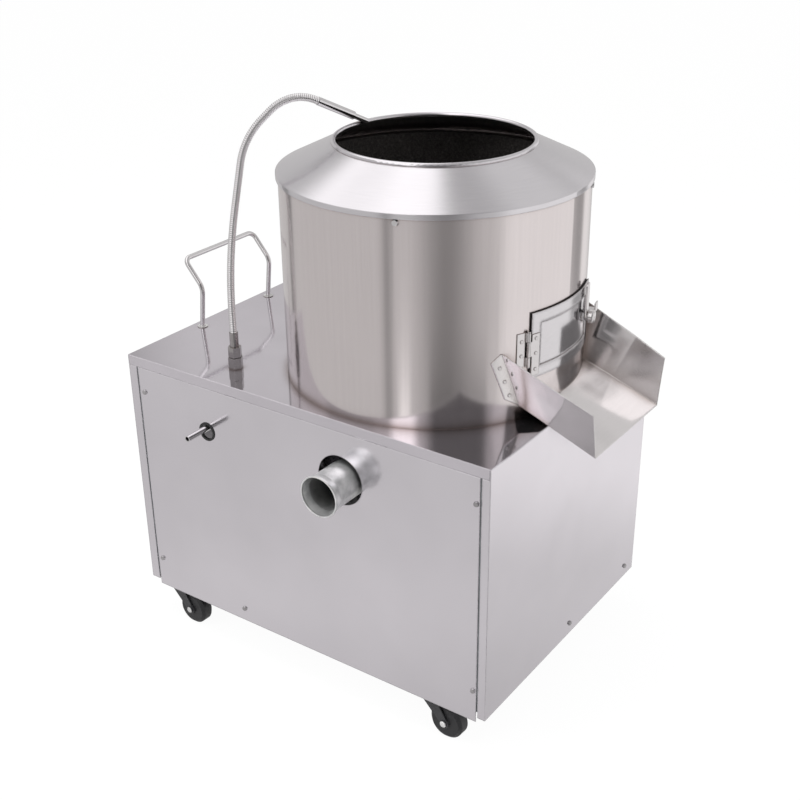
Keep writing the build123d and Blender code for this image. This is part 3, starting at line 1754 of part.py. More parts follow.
def build_caster_mounts():
    """Caster plates with swivel races and kingpins."""
    with BuildPart() as caster_mounts:
        for x, y in caster_points:
            slab(
                x - caster_plate_length / 2,
                x + caster_plate_length / 2,
                y - caster_plate_width / 2,
                y + caster_plate_width / 2,
                plate_bottom,
                frame_bottom,
            )
            rod(x, y, race_bottom, plate_bottom, race_radius)
            rod(x, y, crown_bottom - race_gap, race_bottom, kingpin_radius)
            rod(
                x,
                y,
                crown_bottom - race_gap - kingpin_head_height,
                crown_bottom - race_gap,
                kingpin_head,
            )
    return caster_mounts


def caster_fork():
    """Fork with its fixed axle pin; the wheel trails along +X from the swivel axis."""
    with BuildPart() as fork:
        rod(0, 0, crown_bottom, crown_top, crown_radius)
        with BuildSketch(Plane.XZ.offset(-fork_outer)) as side:
            with BuildLine():
                Polyline(
                    (-crown_reach, crown_top),
                    (crown_reach, crown_top),
                    (caster_trail + fork_foot_radius, wheel_radius),
                    (caster_trail - fork_foot_radius, wheel_radius),
                    (-crown_reach, crown_bottom - fork_wall),
                    close=True,
                )
            make_face()
            with Locations((caster_trail, wheel_radius)):
                Circle(fork_foot_radius)
        extrude(side.sketch, amount=2 * fork_outer)
        slab(
            -2 * crown_radius,
            caster_trail + 2 * fork_foot_radius,
            -fork_inner,
            fork_inner,
            0,
            crown_bottom,
            mode=Mode.SUBTRACT,
        )
        with BuildSketch(Plane.XZ.offset(-fork_outer - axle_head_height)) as axle:
            with Locations((caster_trail, wheel_radius)):
                Circle(axle_radius)
        extrude(axle.sketch, amount=2 * (fork_outer + axle_head_height))
        for start in (-fork_outer - axle_head_height, fork_outer):
            with BuildSketch(Plane.XZ.offset(start)) as head:
                with Locations((caster_trail, wheel_radius)):
                    Circle(axle_head_radius)
            extrude(head.sketch, amount=axle_head_height)
        rod(0, 0, crown_bottom, crown_top, kingpin_radius + running_gap, mode=Mode.SUBTRACT)
    return fork.part


def caster_wheel():
    """Tyred wheel with a hub, turning on the axle pin."""
    half = wheel_width / 2
    bore = axle_radius + running_gap
    outline = [
        (bore, -hub_half),
        (hub_radius_small, -hub_half),
        (hub_radius_small, -half),
        (wheel_radius - tyre_edge, -half),
        (wheel_radius, -half + tyre_edge),
        (wheel_radius, half - tyre_edge),
        (wheel_radius - tyre_edge, half),
        (hub_radius_small, half),
        (hub_radius_small, hub_half),
        (bore, hub_half),
    ]
    side = Plane(origin=(caster_trail, 0, wheel_radius), x_dir=(1, 0, 0), z_dir=(0, 0, 1))
    with BuildPart() as wheel:
        turned(outline, side, Axis((caster_trail, 0, wheel_radius), (0, 1, 0)))
    return wheel.part


# ---------------------------------------------------------------- switch and gland


def build_switch_box():
    """Box on the back panel with two button bores, open towards the panel."""
    face = half_depth + switch_depth
    with BuildPart() as switch_box:
        back = Plane(origin=(switch_x, half_depth, switch_z), x_dir=(-1, 0, 0), z_dir=(0, 1, 0))
        with BuildSketch(back) as body:
            RectangleRounded(switch_width, switch_height, switch_corner)
        extrude(body.sketch, amount=switch_depth)
        slab(
            switch_x - switch_width / 2 + switch_wall,
            switch_x + switch_width / 2 - switch_wall,
            half_depth,
            face - switch_wall,
            switch_z - switch_height / 2 + switch_wall,
            switch_z + switch_height / 2 - switch_wall,
            mode=Mode.SUBTRACT,
        )
        for side in (-1, 1):
            seat = Plane(origin=(switch_x, face, switch_z + side * button_spacing), z_dir=(0, 1, 0))
            hole(seat, button_stem + running_gap, 2 * switch_wall)
    return switch_box


def build_button(side):
    """Push button with a stem through the switch box cover."""
    face = half_depth + switch_depth
    height = switch_z + side * button_spacing
    seat = Plane(origin=(switch_x, face + button_rest_gap, height), z_dir=(0, 1, 0))
    with BuildPart() as button:
        with BuildSketch(seat) as cap:
            Circle(button_cap)
        extrude(cap.sketch, amount=button_cap_height)
        with BuildSketch(seat) as stem:
            Circle(button_stem)
        extrude(stem.sketch, amount=-(button_rest_gap + button_tail))
    return button


def build_cable_gland():
    """Cable gland through the back panel."""
    seat = Plane(origin=(gland_x, half_depth, gland_z), z_dir=(0, 1, 0))
    with BuildPart() as cable_gland:
        with BuildSketch(seat) as flange:
            RegularPolygon(gland_hex, 6)
        extrude(flange.sketch, amount=gland_hex_height)
        with BuildSketch(seat.offset(gland_hex_height)) as cap:
            Circle(gland_cap_radius)
        extrude(cap.sketch, amount=gland_cap_height)
        with BuildSketch(seat) as thread:
            Circle(gland_thread)
        extrude(thread.sketch, amount=-gland_tail)
        with BuildSketch(seat.offset(-skin)) as nut:
            RegularPolygon(gland_hex, 6)
        extrude(nut.sketch, amount=-gland_hex_height / 2)
        with BuildSketch(seat.offset(-gland_tail)) as bore:
            Circle(gland_bore)
        extrude(bore.sketch, amount=gland_tail + gland_hex_height + gland_cap_height, mode=Mode.SUBTRACT)
    return cable_gland


# ---------------------------------------------------------------- all sub-parts
save(build_cabinet_top(), "cabinet_top")
save(build_side_panel(-cabinet_left_width, 1, left_flange), "left_side_panel")
save(build_side_panel(cabinet_right_width, -1, right_flange), "right_side_panel")
save(build_front_panel(), "front_panel")
save(build_back_panel(), "back_panel")
save(build_panel_screws(), "panel_screws")
save(build_chassis_frame(), "chassis_frame")
save(build_drum_shell(), "drum_shell")
save(build_abrasive_liner(), "abrasive_liner")
save(build_hopper_cone(), "hopper_cone")
save(build_cone_pegs(), "cone_pegs")
save(build_drum_rivets(), "drum_rivets")
save(build_chute(), "chute")
save(build_door_panel(), "door_panel")
save(build_door_gasket(), "door_gasket")
save(build_door_plug(), "door_plug")
save(build_hinge_leaf_drum(), "hinge_leaf_drum")
save(build_hinge_leaf_door(), "hinge_leaf_door")
save(build_hinge_pin(), "hinge_pin")
save(build_door_rivets(), "door_rivets")
save(build_door_latch(), "door_latch")
save(build_latch_knob(), "latch_knob")
save(build_latch_keeper(), "latch_keeper")
save(build_catch_pan(), "catch_pan")
save(build_drain_pipe(), "drain_pipe")
save(build_bearing_housing(), "bearing_housing")
save(build_shaft_bearings(), "shaft_bearings")
save(build_shaft_seal(), "shaft_seal")
save(build_main_shaft(), "main_shaft")
save(build_driven_pulley(), "driven_pulley")
save(build_peel_sweeper(), "peel_sweeper")
save(build_disc_casting(), "disc_casting")
save(build_disc_grit(), "disc_grit")
save(build_disc_nut(), "disc_nut")
save(build_motor_housing(), "motor_housing")
save(build_motor_rotor(), "motor_rotor")
save(build_motor_pulley(), "motor_pulley")
save(build_drive_belt(), "drive_belt")
save(build_frame_bolts(), "frame_bolts")
save(build_frame_nuts(), "frame_nuts")
save(build_water_inlet_pipe(), "water_inlet_pipe")
save(build_inlet_grommet(), "inlet_grommet")
save(build_arm_fitting(), "arm_fitting")
save(build_gooseneck_arm(), "gooseneck_arm")
save(build_arm_nozzle(), "arm_nozzle")
save(build_grab_handle(), "grab_handle")
save(build_handle_nuts(), "handle_nuts")
save(build_caster_mounts(), "caster_mounts")
save(build_switch_box(), "switch_box")
save(build_button(1), "start_button")
save(build_button(-1), "stop_button")
save(build_cable_gland(), "cable_gland")

fork_shape = caster_fork()
wheel_shape = caster_wheel()
for (x, y), name in zip(caster_points, caster_names):
    place = Location((x, y, 0), (0, 0, caster_turn))
    with BuildPart() as fork:
        add(fork_shape.moved(place))
    save(fork, f"caster_fork_{name}")
    with BuildPart() as wheel:
        add(wheel_shape.moved(place))
    save(wheel, f"caster_wheel_{name}")
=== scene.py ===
import json
import math

import bmesh
import bpy
from mathutils import Matrix, Vector


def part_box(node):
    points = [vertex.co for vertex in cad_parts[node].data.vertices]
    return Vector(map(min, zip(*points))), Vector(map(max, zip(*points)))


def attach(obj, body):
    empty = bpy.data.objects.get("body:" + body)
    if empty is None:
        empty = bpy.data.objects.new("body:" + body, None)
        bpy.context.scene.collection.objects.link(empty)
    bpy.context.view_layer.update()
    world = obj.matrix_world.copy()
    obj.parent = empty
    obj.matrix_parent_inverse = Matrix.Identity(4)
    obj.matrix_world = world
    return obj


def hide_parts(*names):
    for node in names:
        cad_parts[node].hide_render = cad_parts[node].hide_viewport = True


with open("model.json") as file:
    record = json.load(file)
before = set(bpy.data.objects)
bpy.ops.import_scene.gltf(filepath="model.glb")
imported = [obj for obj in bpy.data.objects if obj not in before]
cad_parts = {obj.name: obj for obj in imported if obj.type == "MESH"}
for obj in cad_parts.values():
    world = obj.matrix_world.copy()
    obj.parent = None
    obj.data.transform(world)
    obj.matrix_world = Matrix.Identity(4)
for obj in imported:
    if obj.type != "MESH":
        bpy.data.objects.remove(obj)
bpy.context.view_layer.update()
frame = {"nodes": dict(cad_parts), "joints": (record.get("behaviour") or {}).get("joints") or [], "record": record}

# lengths are metres in the frame of the CAD, and angles are degrees where no comment says otherwise
nodes = frame["nodes"]

# ---------------------------------------------------------------- camera of the photograph
CAMERA_PLACE = (1.0568, -1.5937, 1.3916)
CAMERA_YAW = 35.29
CAMERA_PITCH = 26.03
CAMERA_ROLL = -0.64
CAMERA_LENS = 56.4
CAMERA_SENSOR = 36.0
CAMERA_RANGE = 50


def make_camera():
    """Camera at the viewing angle of the photograph."""
    yaw, pitch, roll = (math.radians(a) for a in (CAMERA_YAW, CAMERA_PITCH, CAMERA_ROLL))
    ahead = Vector((
        -math.sin(yaw) * math.cos(pitch),
        math.cos(yaw) * math.cos(pitch),
        -math.sin(pitch),
    ))
    level = Vector((math.cos(yaw), math.sin(yaw), 0))
    over = level.cross(ahead)
    right = math.cos(roll) * level + math.sin(roll) * over
    up = -math.sin(roll) * level + math.cos(roll) * over
    data = bpy.data.cameras.new("camera")
    data.lens = CAMERA_LENS
    data.sensor_width = CAMERA_SENSOR
    data.clip_end = CAMERA_RANGE
    camera = bpy.data.objects.new("camera", data)
    turn = Matrix((right, up, -ahead)).transposed().to_4x4()
    camera.matrix_world = Matrix.Translation(CAMERA_PLACE) @ turn
    bpy.context.scene.collection.objects.link(camera)
    bpy.context.scene.camera = camera


# ---------------------------------------------------------------- node helpers
# sockets of a Mix node that share their name with others of the node
MIX_NUMBER_INPUTS = (2, 3)
MIX_NUMBER_OUTPUT = 0
MIX_COLOUR_INPUTS = (6, 7)
MIX_COLOUR_OUTPUT = 2


def new_material(name):
    """Node material with a Principled shader."""
    material = bpy.data.materials.new(name)
    material.use_nodes = True
    tree = material.node_tree
    shader = tree.nodes["Principled BSDF"]
    return material, tree, shader


def feed(tree, socket, value):
    """Sets a socket to a number, or links it to an output."""
    if isinstance(value, (int, float)):
        socket.default_value = value
    else:
        tree.links.new(value, socket)


def math_node(tree, operation, *values):
    """Result of a Math node; each value is a number or an output."""
    node = tree.nodes.new("ShaderNodeMath")
    node.operation = operation
    for socket, value in zip(node.inputs, values):
        feed(tree, socket, value)
    return node.outputs[0]


def blend_numbers(tree, share, before, after):
    """Number that goes from before to after as the share goes from 0 to 1."""
    node = tree.nodes.new("ShaderNodeMix")
    feed(tree, node.inputs["Factor"], share)
    for socket, value in zip(MIX_NUMBER_INPUTS, (before, after)):
        tree.links.new(value, node.inputs[socket])
    return node.outputs[MIX_NUMBER_OUTPUT]


def blend_colours(tree, share, before, after, blend_type="MIX"):
    """Colour that goes from before to after as the share goes from 0 to 1."""
    node = tree.nodes.new("ShaderNodeMix")
    node.data_type = "RGBA"
    node.blend_type = blend_type
    feed(tree, node.inputs["Factor"], share)
    for socket, colour in zip(MIX_COLOUR_INPUTS, (before, after)):
        tree.links.new(colour, node.inputs[socket])
    return node.outputs[MIX_COLOUR_OUTPUT]


def blend_shaders(tree, share, before, after):
    """Shader that goes from before to after as the share goes from 0 to 1."""
    node = tree.nodes.new("ShaderNodeMixShader")
    for socket, value in zip(node.inputs, (share, before, after)):
        feed(tree, socket, value)
    return node.outputs[0]


def around_drum(tree, place):
    """Angle, radius and height of a place around the drum axis."""
    split = tree.nodes.new("ShaderNodeSeparateXYZ")
    flat = tree.nodes.new("ShaderNodeCombineXYZ")
    radius = tree.nodes.new("ShaderNodeVectorMath")
    radius.operation = "LENGTH"
    joined = tree.nodes.new("ShaderNodeCombineXYZ")
    tree.links.new(place, split.inputs[0])
    x, y, z = (split.outputs[axis] for axis in "XYZ")
    tree.links.new(x, flat.inputs["X"])
    tree.links.new(y, flat.inputs["Y"])
    tree.links.new(flat.outputs[0], radius.inputs[0])
    tree.links.new(math_node(tree, "ARCTAN2", y, x), joined.inputs["X"])
    tree.links.new(radius.outputs["Value"], joined.inputs["Y"])
    tree.links.new(z, joined.inputs["Z"])
    return joined.outputs[0]


# detail and roughness of each kind of noise
FINE_NOISE = (4.0, 0.6)
GRAIN_NOISE = (3.0, 0.6)
CLOUD_NOISE = (3.0, 0.55)
SPECK_NOISE = (2.0, 0.5)
SLOW_NOISE = (1.0, 0.4)


def noise(tree, scale, kind, around_z=False):
    """Noise on scaled object coordinates, or on scaled coordinates around the drum axis."""
    detail, roughness = kind
    place = tree.nodes.new("ShaderNodeTexCoord").outputs["Object"]
    if around_z:
        place = around_drum(tree, place)
    stretch = tree.nodes.new("ShaderNodeVectorMath")
    stretch.operation = "MULTIPLY"
    stretch.inputs[1].default_value = scale
    tree.links.new(place, stretch.inputs[0])
    texture = tree.nodes.new("ShaderNodeTexNoise")
    texture.inputs["Scale"].default_value = 1.0
    texture.inputs["Detail"].default_value = detail
    texture.inputs["Roughness"].default_value = roughness
    tree.links.new(stretch.outputs[0], texture.inputs["Vector"])
    return texture.outputs["Fac"]


def ramp(tree, value, stops):
    """Colour ramp with the given (position, colour) stops."""
    node = tree.nodes.new("ShaderNodeValToRGB")
    elements = node.color_ramp.elements
    while len(elements) > 1:
        elements.remove(elements[-1])
    for k, (position, colour) in enumerate(stops):
        element = elements[0] if k == 0 else elements.new(position)
        element.position = position
        element.color = (*colour, 1)
    tree.links.new(value, node.inputs[0])
    return node.outputs["Color"]


def two_tone(tree, value, tint, share, stops):
    """Tint from darker to lighter by the share, as the value goes between the two stops."""
    dark = tuple(c * (1 - share) for c in tint)
    light = tuple(min(1.0, c * (1 + share)) for c in tint)
    return ramp(tree, value, zip(stops, (dark, light)))


def spread(tree, value, middle, shares):
    """Value from 0..1 moved to a range that is given as two shares of its middle."""
    node = tree.nodes.new("ShaderNodeMapRange")
    for limit, share in zip(("To Min", "To Max"), shares):
        node.inputs[limit].default_value = middle * share
    tree.links.new(value, node.inputs["Value"])
    return node.outputs["Result"]


def fade(tree, value, start, end):
    """Soft step from 0 at start to 1 at end."""
    node = tree.nodes.new("ShaderNodeMapRange")
    node.interpolation_type = "SMOOTHSTEP"
    node.inputs["From Min"].default_value = start
    node.inputs["From Max"].default_value = end
    tree.links.new(value, node.inputs["Value"])
    return node.outputs["Result"]


def bump(tree, height, distance, strength, after=None):
    """Normal with a bump from a height value, on top of an earlier normal."""
    node = tree.nodes.new("ShaderNodeBump")
    node.inputs["Distance"].default_value = distance
    node.inputs["Strength"].default_value = strength
    tree.links.new(height, node.inputs["Height"])
    if after is not None:
        tree.links.new(after, node.inputs["Normal"])
    return node.outputs["Normal"]


EDGE_SAMPLES = 4


def soft_edges(tree, radius):
    """Normal that rounds the edges by the radius."""
    node = tree.nodes.new("ShaderNodeBevel")
    node.samples = EDGE_SAMPLES
    node.inputs["Radius"].default_value = radius
    return node.outputs["Normal"]


# ---------------------------------------------------------------- painted shade in hollows and along joints
OPEN_SAMPLES = 6
WHITE = (1, 1, 1)
# painted shade in hollows, such as inside the cabinet and the drain pipe: colours darken where little space around
# is free within the reach
HOLLOW_REACH = 1.2
HOLLOW_PAINTED_SHADE = (0.2, 0.2, 0.2)
HOLLOW_CLOSED = 0.03
HOLLOW_FREE = 0.15
# painted shade along the joints with other pieces, tinted brown: colours darken where little space around is free
# within a short reach
JOINT_SHADE_BROWN = (0.56, 0.51, 0.48)
JOINT_SHADE_FULL = 0.45
JOINT_SHADE_NONE = 0.85


def paint_shade_by_space(tree, colour, reach, stops):
    """Painted shade: colour times a ramp over the share of the space around that is free up to the reach."""
    space = tree.nodes.new("ShaderNodeAmbientOcclusion")
    space.samples = OPEN_SAMPLES
    space.inputs["Distance"].default_value = reach
    shade = ramp(tree, space.outputs["AO"], stops)
    return blend_colours(tree, 1.0, colour, shade, "MULTIPLY")


def paint_hollow_shade(tree, colour, free):
    """Colour with painted shade: darker where less than the given share of the space is free."""
    stops = [(HOLLOW_CLOSED, HOLLOW_PAINTED_SHADE), (free, WHITE)]
    return paint_shade_by_space(tree, colour, HOLLOW_REACH, stops)


def paint_joint_shade(tree, colour, reach):
    """Colour with painted shade, tinted brown, along the joints with other pieces."""
    return paint_shade_by_space(tree, colour, reach, [(JOINT_SHADE_FULL, JOINT_SHADE_BROWN), (JOINT_SHADE_NONE, WHITE)])


# ---------------------------------------------------------------- kinds of material
# scales are noise periods per metre; each pair of stops is where the darker and the lighter tone
# start, and each roughness range is given as shares of the material's own roughness
CLOUD_SCALE = (5.0, 5.0, 5.0)
BLOT_SCALE = (38.0, 38.0, 38.0)
SHEEN_SCALE = (30.0, 30.0, 30.0)
CLOUD_STOPS = (0.3, 0.7)
BLOT_STOPS = (0.35, 0.65)
SHEET_ROUGH = (0.8, 1.25)
METAL_ROUGH = (0.8, 1.2)
POLYMER_ROUGH = (0.85, 1.15)
SCRATCH_DEPTH = 0.00003
SCRATCH_STRENGTH = 0.2
BRUSH_TURN = 0.25  # of a full turn
GRAIN_STRENGTH = 0.5
ROUGH_EDGE = 0.0006
POLYMER_EDGE = 0.0005
GRIT_SCALE = 420.0
GRIT_DEPTH = 0.0015
GRIT_STRENGTH = 0.8
GRIT_ROUGH = 0.85
SPECK_SCALE = (300.0, 300.0, 300.0)
SPECK_STOPS = (0.35, 0.6, 0.8)
SPECK_TONES = (0.5, 1.0, 1.8)


def sheet_metal(
    name,
    tint,
    rough,
    grain,
    wave,
    wave_scale=3.2,
    around_z=False,
    edge=0.0008,
    shade=0.06,
    cloudy=0.5,
    stain=0.0,
    brushed=0.0,
    metallic=1.0,
):
    """Polished sheet: fine grain, cloudy wear, painted shade along joints and in hollows, and a slight waviness of
    the sheet.
    """
    material, tree, shader = new_material(name)
    fine = noise(tree, grain, FINE_NOISE, around_z)
    cloud = noise(tree, CLOUD_SCALE, CLOUD_NOISE)
    wear = blend_numbers(tree, cloudy, fine, cloud)
    colour = two_tone(tree, wear, tint, shade, CLOUD_STOPS)
    # painted shade, tinted brown, along the joints
    if stain:
        colour = paint_joint_shade(tree, colour, stain)
    # painted shade in hollows
    tree.links.new(paint_hollow_shade(tree, colour, HOLLOW_FREE), shader.inputs["Base Color"])
    tree.links.new(spread(tree, wear, rough, SHEET_ROUGH), shader.inputs["Roughness"])
    shader.inputs["Metallic"].default_value = metallic
    if brushed:
        shader.inputs["Anisotropic"].default_value = brushed
        shader.inputs["Anisotropic Rotation"].default_value = BRUSH_TURN
        tangent = tree.nodes.new("ShaderNodeTangent")
        tangent.direction_type = "RADIAL"
        tangent.axis = "Z"
        tree.links.new(tangent.outputs[0], shader.inputs["Tangent"])
    slow = noise(tree, (wave_scale,) * 3, SLOW_NOISE)
    normal = bump(tree, slow, wave, 1.0, soft_edges(tree, edge))
    normal = bump(tree, fine, SCRATCH_DEPTH, SCRATCH_STRENGTH, normal)
    tree.links.new(normal, shader.inputs["Normal"])
    return material


def rough_metal(
    name,
    tint,
    rough,
    grain=900.0,
    depth=0.0002,
    blotch=0.25,
    metallic=1.0,
    stain=0.0,
    free=HOLLOW_FREE,
):
    """Plated, cast or painted metal with blotches, a grainy surface, and painted shade along joints and in
    hollows.
    """
    material, tree, shader = new_material(name)
    grains = noise(tree, (grain,) * 3, GRAIN_NOISE)
    blots = noise(tree, BLOT_SCALE, FINE_NOISE)
    colour = two_tone(tree, blots, tint, blotch, BLOT_STOPS)
    # painted shade, tinted brown, along the joints
    if stain:
        colour = paint_joint_shade(tree, colour, stain)
    # painted shade in hollows
    tree.links.new(paint_hollow_shade(tree, colour, free), shader.inputs["Base Color"])
    tree.links.new(spread(tree, blots, rough, METAL_ROUGH), shader.inputs["Roughness"])
    shader.inputs["Metallic"].default_value = metallic
    normal = bump(tree, grains, depth, GRAIN_STRENGTH, soft_edges(tree, ROUGH_EDGE))
    tree.links.new(normal, shader.inputs["Normal"])
    return material


def grit(name, tint):
    """Abrasive grit: coarse grains with a few paler specks."""
    material, tree, shader = new_material(name)
    coords = tree.nodes.new("ShaderNodeTexCoord")
    grains = tree.nodes.new("ShaderNodeTexVoronoi")
    grains.inputs["Scale"].default_value = GRIT_SCALE
    tree.links.new(coords.outputs["Object"], grains.inputs["Vector"])
    specks = noise(tree, SPECK_SCALE, SPECK_NOISE)
    tones = [tuple(c * tone for c in tint) for tone in SPECK_TONES]
    tree.links.new(ramp(tree, specks, zip(SPECK_STOPS, tones)), shader.inputs["Base Color"])
    shader.inputs["Roughness"].default_value = GRIT_ROUGH
    normal = bump(tree, grains.outputs["Distance"], GRIT_DEPTH, GRIT_STRENGTH)
    tree.links.new(normal, shader.inputs["Normal"])
    return material


def polymer(name, tint, rough, grain=700.0, depth=0.00008, shade=0.15):
    """Rubber or moulded plastic with a fine surface grain and uneven sheen."""
    material, tree, shader = new_material(name)
    grains = noise(tree, (grain,) * 3, SPECK_NOISE)
    cloud = noise(tree, SHEEN_SCALE, CLOUD_NOISE)
    colour = two_tone(tree, cloud, tint, shade, CLOUD_STOPS)
    tree.links.new(colour, shader.inputs["Base Color"])
    tree.links.new(spread(tree, cloud, rough, POLYMER_ROUGH), shader.inputs["Roughness"])
    normal = bump(tree, grains, depth, GRAIN_STRENGTH, soft_edges(tree, POLYMER_EDGE))
    tree.links.new(normal, shader.inputs["Normal"])
    return material


# ---------------------------------------------------------------- the materials
# fineness of the grain: per metre along X, Y and Z, or, for the drum and the cone, per radian
# around the drum axis and per metre across and along it
UPRIGHT_GRAIN = (700.0, 700.0, 40.0)
TRIM_GRAIN = (700.0, 10.0, 700.0)
EVEN_GRAIN = (60.0, 60.0, 60.0)
DRUM_GRAIN = (60.0, 4.0, 3.0)
CONE_GRAIN = (6.0, 1500.0, 600.0)

# the reach along joints in these tables sets painted shade, tinted brown, near other pieces
SHEET_METALS = {
    "stainless_sheet": {
        "tint": (0.865, 0.838, 0.885),
        "rough": 0.14,
        "grain": UPRIGHT_GRAIN,
        "wave": 0.002,
        "edge": 0.003,
        "shade": 0.04,
        "cloudy": 0.9,
    },
    "stainless_plate": {
        "tint": (0.80, 0.768, 0.82),
        "rough": 0.07,
        "grain": UPRIGHT_GRAIN,
        "wave": 0.0005,
        "edge": 0.003,
        "cloudy": 0.9,
        "stain": 0.02,
        "metallic": 0.985,
    },
    "stainless_drum": {
        "tint": (0.80, 0.748, 0.748),
        "rough": 0.14,
        "grain": DRUM_GRAIN,
        "wave": 0.0003,
        "around_z": True,
        "edge": 0.0015,
        "shade": 0.04,
        "stain": 0.028,
        "brushed": 0.55,
        "metallic": 0.99,
    },
    "stainless_cone": {
        "tint": (0.79, 0.775, 0.805),
        "rough": 0.17,
        "grain": CONE_GRAIN,
        "wave": 0.0003,
        "around_z": True,
        "edge": 0.002,
        "stain": 0.01,
    },
    "stainless_trim": {
        "tint": (0.76, 0.74, 0.745),
        "rough": 0.16,
        "grain": TRIM_GRAIN,
        "wave": 0.0005,
        "edge": 0.0015,
        "stain": 0.004,
    },
    "stainless_chute": {
        "tint": (0.84, 0.817, 0.82),
        "rough": 0.12,
        "grain": TRIM_GRAIN,
        "wave": 0.005,
        "wave_scale": 9.0,
        "edge": 0.0025,
        "stain": 0.035,
        "metallic": 0.94,
    },
    "stainless_door": {
        "tint": (0.76, 0.745, 0.765),
        "rough": 0.12,
        "grain": TRIM_GRAIN,
        "wave": 0.0012,
        "wave_scale": 9.0,
        "edge": 0.006,
        "stain": 0.004,
    },
    "chrome": {
        "tint": (0.80, 0.79, 0.80),
        "rough": 0.13,
        "grain": EVEN_GRAIN,
        "wave": 0.0001,
        "edge": 0.0006,
    },
    "dark_chrome": {
        "tint": (0.46, 0.44, 0.44),
        "rough": 0.12,
        "grain": EVEN_GRAIN,
        "wave": 0.0002,
        "edge": 0.0012,
        "stain": 0.006,
    },
}

ROUGH_METALS = {
    # zinc: painted shade in hollows such as the drain pipe, and painted brown-tinted shade at its joints
    "zinc": {"tint": (0.85, 0.86, 0.86), "rough": 0.3, "metallic": 0.7, "stain": 0.012, "free": 0.38},
    "screw_steel": {"tint": (0.52, 0.51, 0.52), "rough": 0.3},
    "frame_paint": {"tint": (0.22, 0.23, 0.24), "rough": 0.45, "metallic": 0.0},
    "casting": {"tint": (0.55, 0.55, 0.55), "rough": 0.5, "grain": 500.0, "depth": 0.0005},
    "iron": {"tint": (0.2, 0.2, 0.21), "rough": 0.5, "grain": 500.0, "depth": 0.0004},
    "steel": {"tint": (0.6, 0.6, 0.62), "rough": 0.25, "depth": 0.0001, "blotch": 0.1},
    "fork": {"tint": (0.035, 0.035, 0.038), "rough": 0.32, "metallic": 0.0},
    "motor_paint": {
        "tint": (0.12, 0.19, 0.27),
        "rough": 0.4,
        "grain": 700.0,
        "depth": 0.0003,
        "metallic": 0.0,
    },
}

POLYMERS = {
    "rubber": {"tint": (0.022, 0.022, 0.023), "rough": 0.6},
    "tyre": {"tint": (0.025, 0.025, 0.027), "rough": 0.5},
    "switch_plastic": {"tint": (0.62, 0.62, 0.60), "rough": 0.5, "shade": 0.05},
    "black_plastic": {"tint": (0.02, 0.02, 0.02), "rough": 0.3},
    "green_plastic": {"tint": (0.03, 0.33, 0.10), "rough": 0.3},
    "red_plastic": {"tint": (0.55, 0.03, 0.025), "rough": 0.3},
}

GRITS = {
    "abrasive": {"tint": (0.055, 0.05, 0.047)},
}

# nodes that look different from the rest of their slot
SPECIAL_FINISH = {
    "cabinet_top": "stainless_plate",
    "panel_screws": "screw_steel",
    "grab_handle": "chrome",
    "cone_pegs": "chrome",
    "arm_fitting": "dark_chrome",
    "door_panel": "stainless_door",
    "chute": "stainless_chute",
}


def make_materials():
    """One material for each slot of the record, and a few for single nodes."""
    kinds = (
        (sheet_metal, SHEET_METALS),
        (rough_metal, ROUGH_METALS),
        (polymer, POLYMERS),
        (grit, GRITS),
    )
    return {name: make(name, **look) for make, looks in kinds for name, look in looks.items()}


def dress_nodes(materials):
    """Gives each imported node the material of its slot."""
    slots = {entry["node"]: entry["material_slot"] for entry in frame["record"]["subparts"]}
    for name, node in nodes.items():
        material = materials[SPECIAL_FINISH.get(name, slots[name])]
        if node.data.materials:
            for slot in node.material_slots:
                slot.material = material
        else:
            node.data.materials.append(material)


# ---------------------------------------------------------------- pieces
def add_piece(mesh, body, slot, material, *replaced):
    """Links a mesh as a piece of the same name that rides on a body."""
    piece = bpy.data.objects.new(mesh.name, mesh)
    bpy.context.scene.collection.objects.link(piece)
    mesh.materials.append(material)
    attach(piece, body)
    if replaced:
        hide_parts(*replaced)
    return piece


def ring_mesh(name, rings):
    """Closed mesh through rings of equally many places, with a flat cap at both ends."""
    work = bmesh.new()
    loops = [[work.verts.new(place) for place in ring] for ring in rings]
    for a, b in zip(loops, loops[1:]):
        for k in range(len(a)):
            after = (k + 1) % len(a)
            work.faces.new((a[k], a[after], b[after], b[k]))
    work.faces.new(loops[0])
    work.faces.new(loops[-1])
    bmesh.ops.recalc_face_normals(work, faces=work.faces)
    mesh = bpy.data.meshes.new(name)
    work.to_mesh(mesh)
    work.free()
    for face in mesh.polygons:
        face.use_smooth = len(face.vertices) == 4
    return mesh


def circle(middle, radius, across, upward, sides):
    """Places around a circle in the plane of two directions."""
    turns = [2 * math.pi * k / sides for k in range(sides)]
    return [middle + radius * (math.cos(t) * across + math.sin(t) * upward) for t in turns]


# water arm: its route is (distance out, height) from its foot, in the upright plane that is turned
# by ARM_TURN from the chute's side
ARM_FOOT = Vector((-0.2635, -0.1997, 0.527))
ARM_TURN = 62
ARM_ROUTE = ((0, 0.042), (0, 0.186), (0.0395, 0.3808), (0.121, 0.4467), (0.1666, 0.4242))
ARM_BENDS = (0.9, 0.11, 0.072)
ARM_RADIUS = 0.0062
ARM_SIDES = 28
ARM_RIB = 0.0032
ARM_RIB_STEPS = 8
ARM_GROOVE = 0.0011
ARM_GROOVE_POWER = 1.6
ARC_STEP = 0.004
ARC_LEAST_STEPS = 6


def turned(vector, angle):
    """Flat vector turned by an angle in radians."""
    return Vector((
        vector.x * math.cos(angle) - vector.y * math.sin(angle),
        vector.x * math.sin(angle) + vector.y * math.cos(angle),
    ))


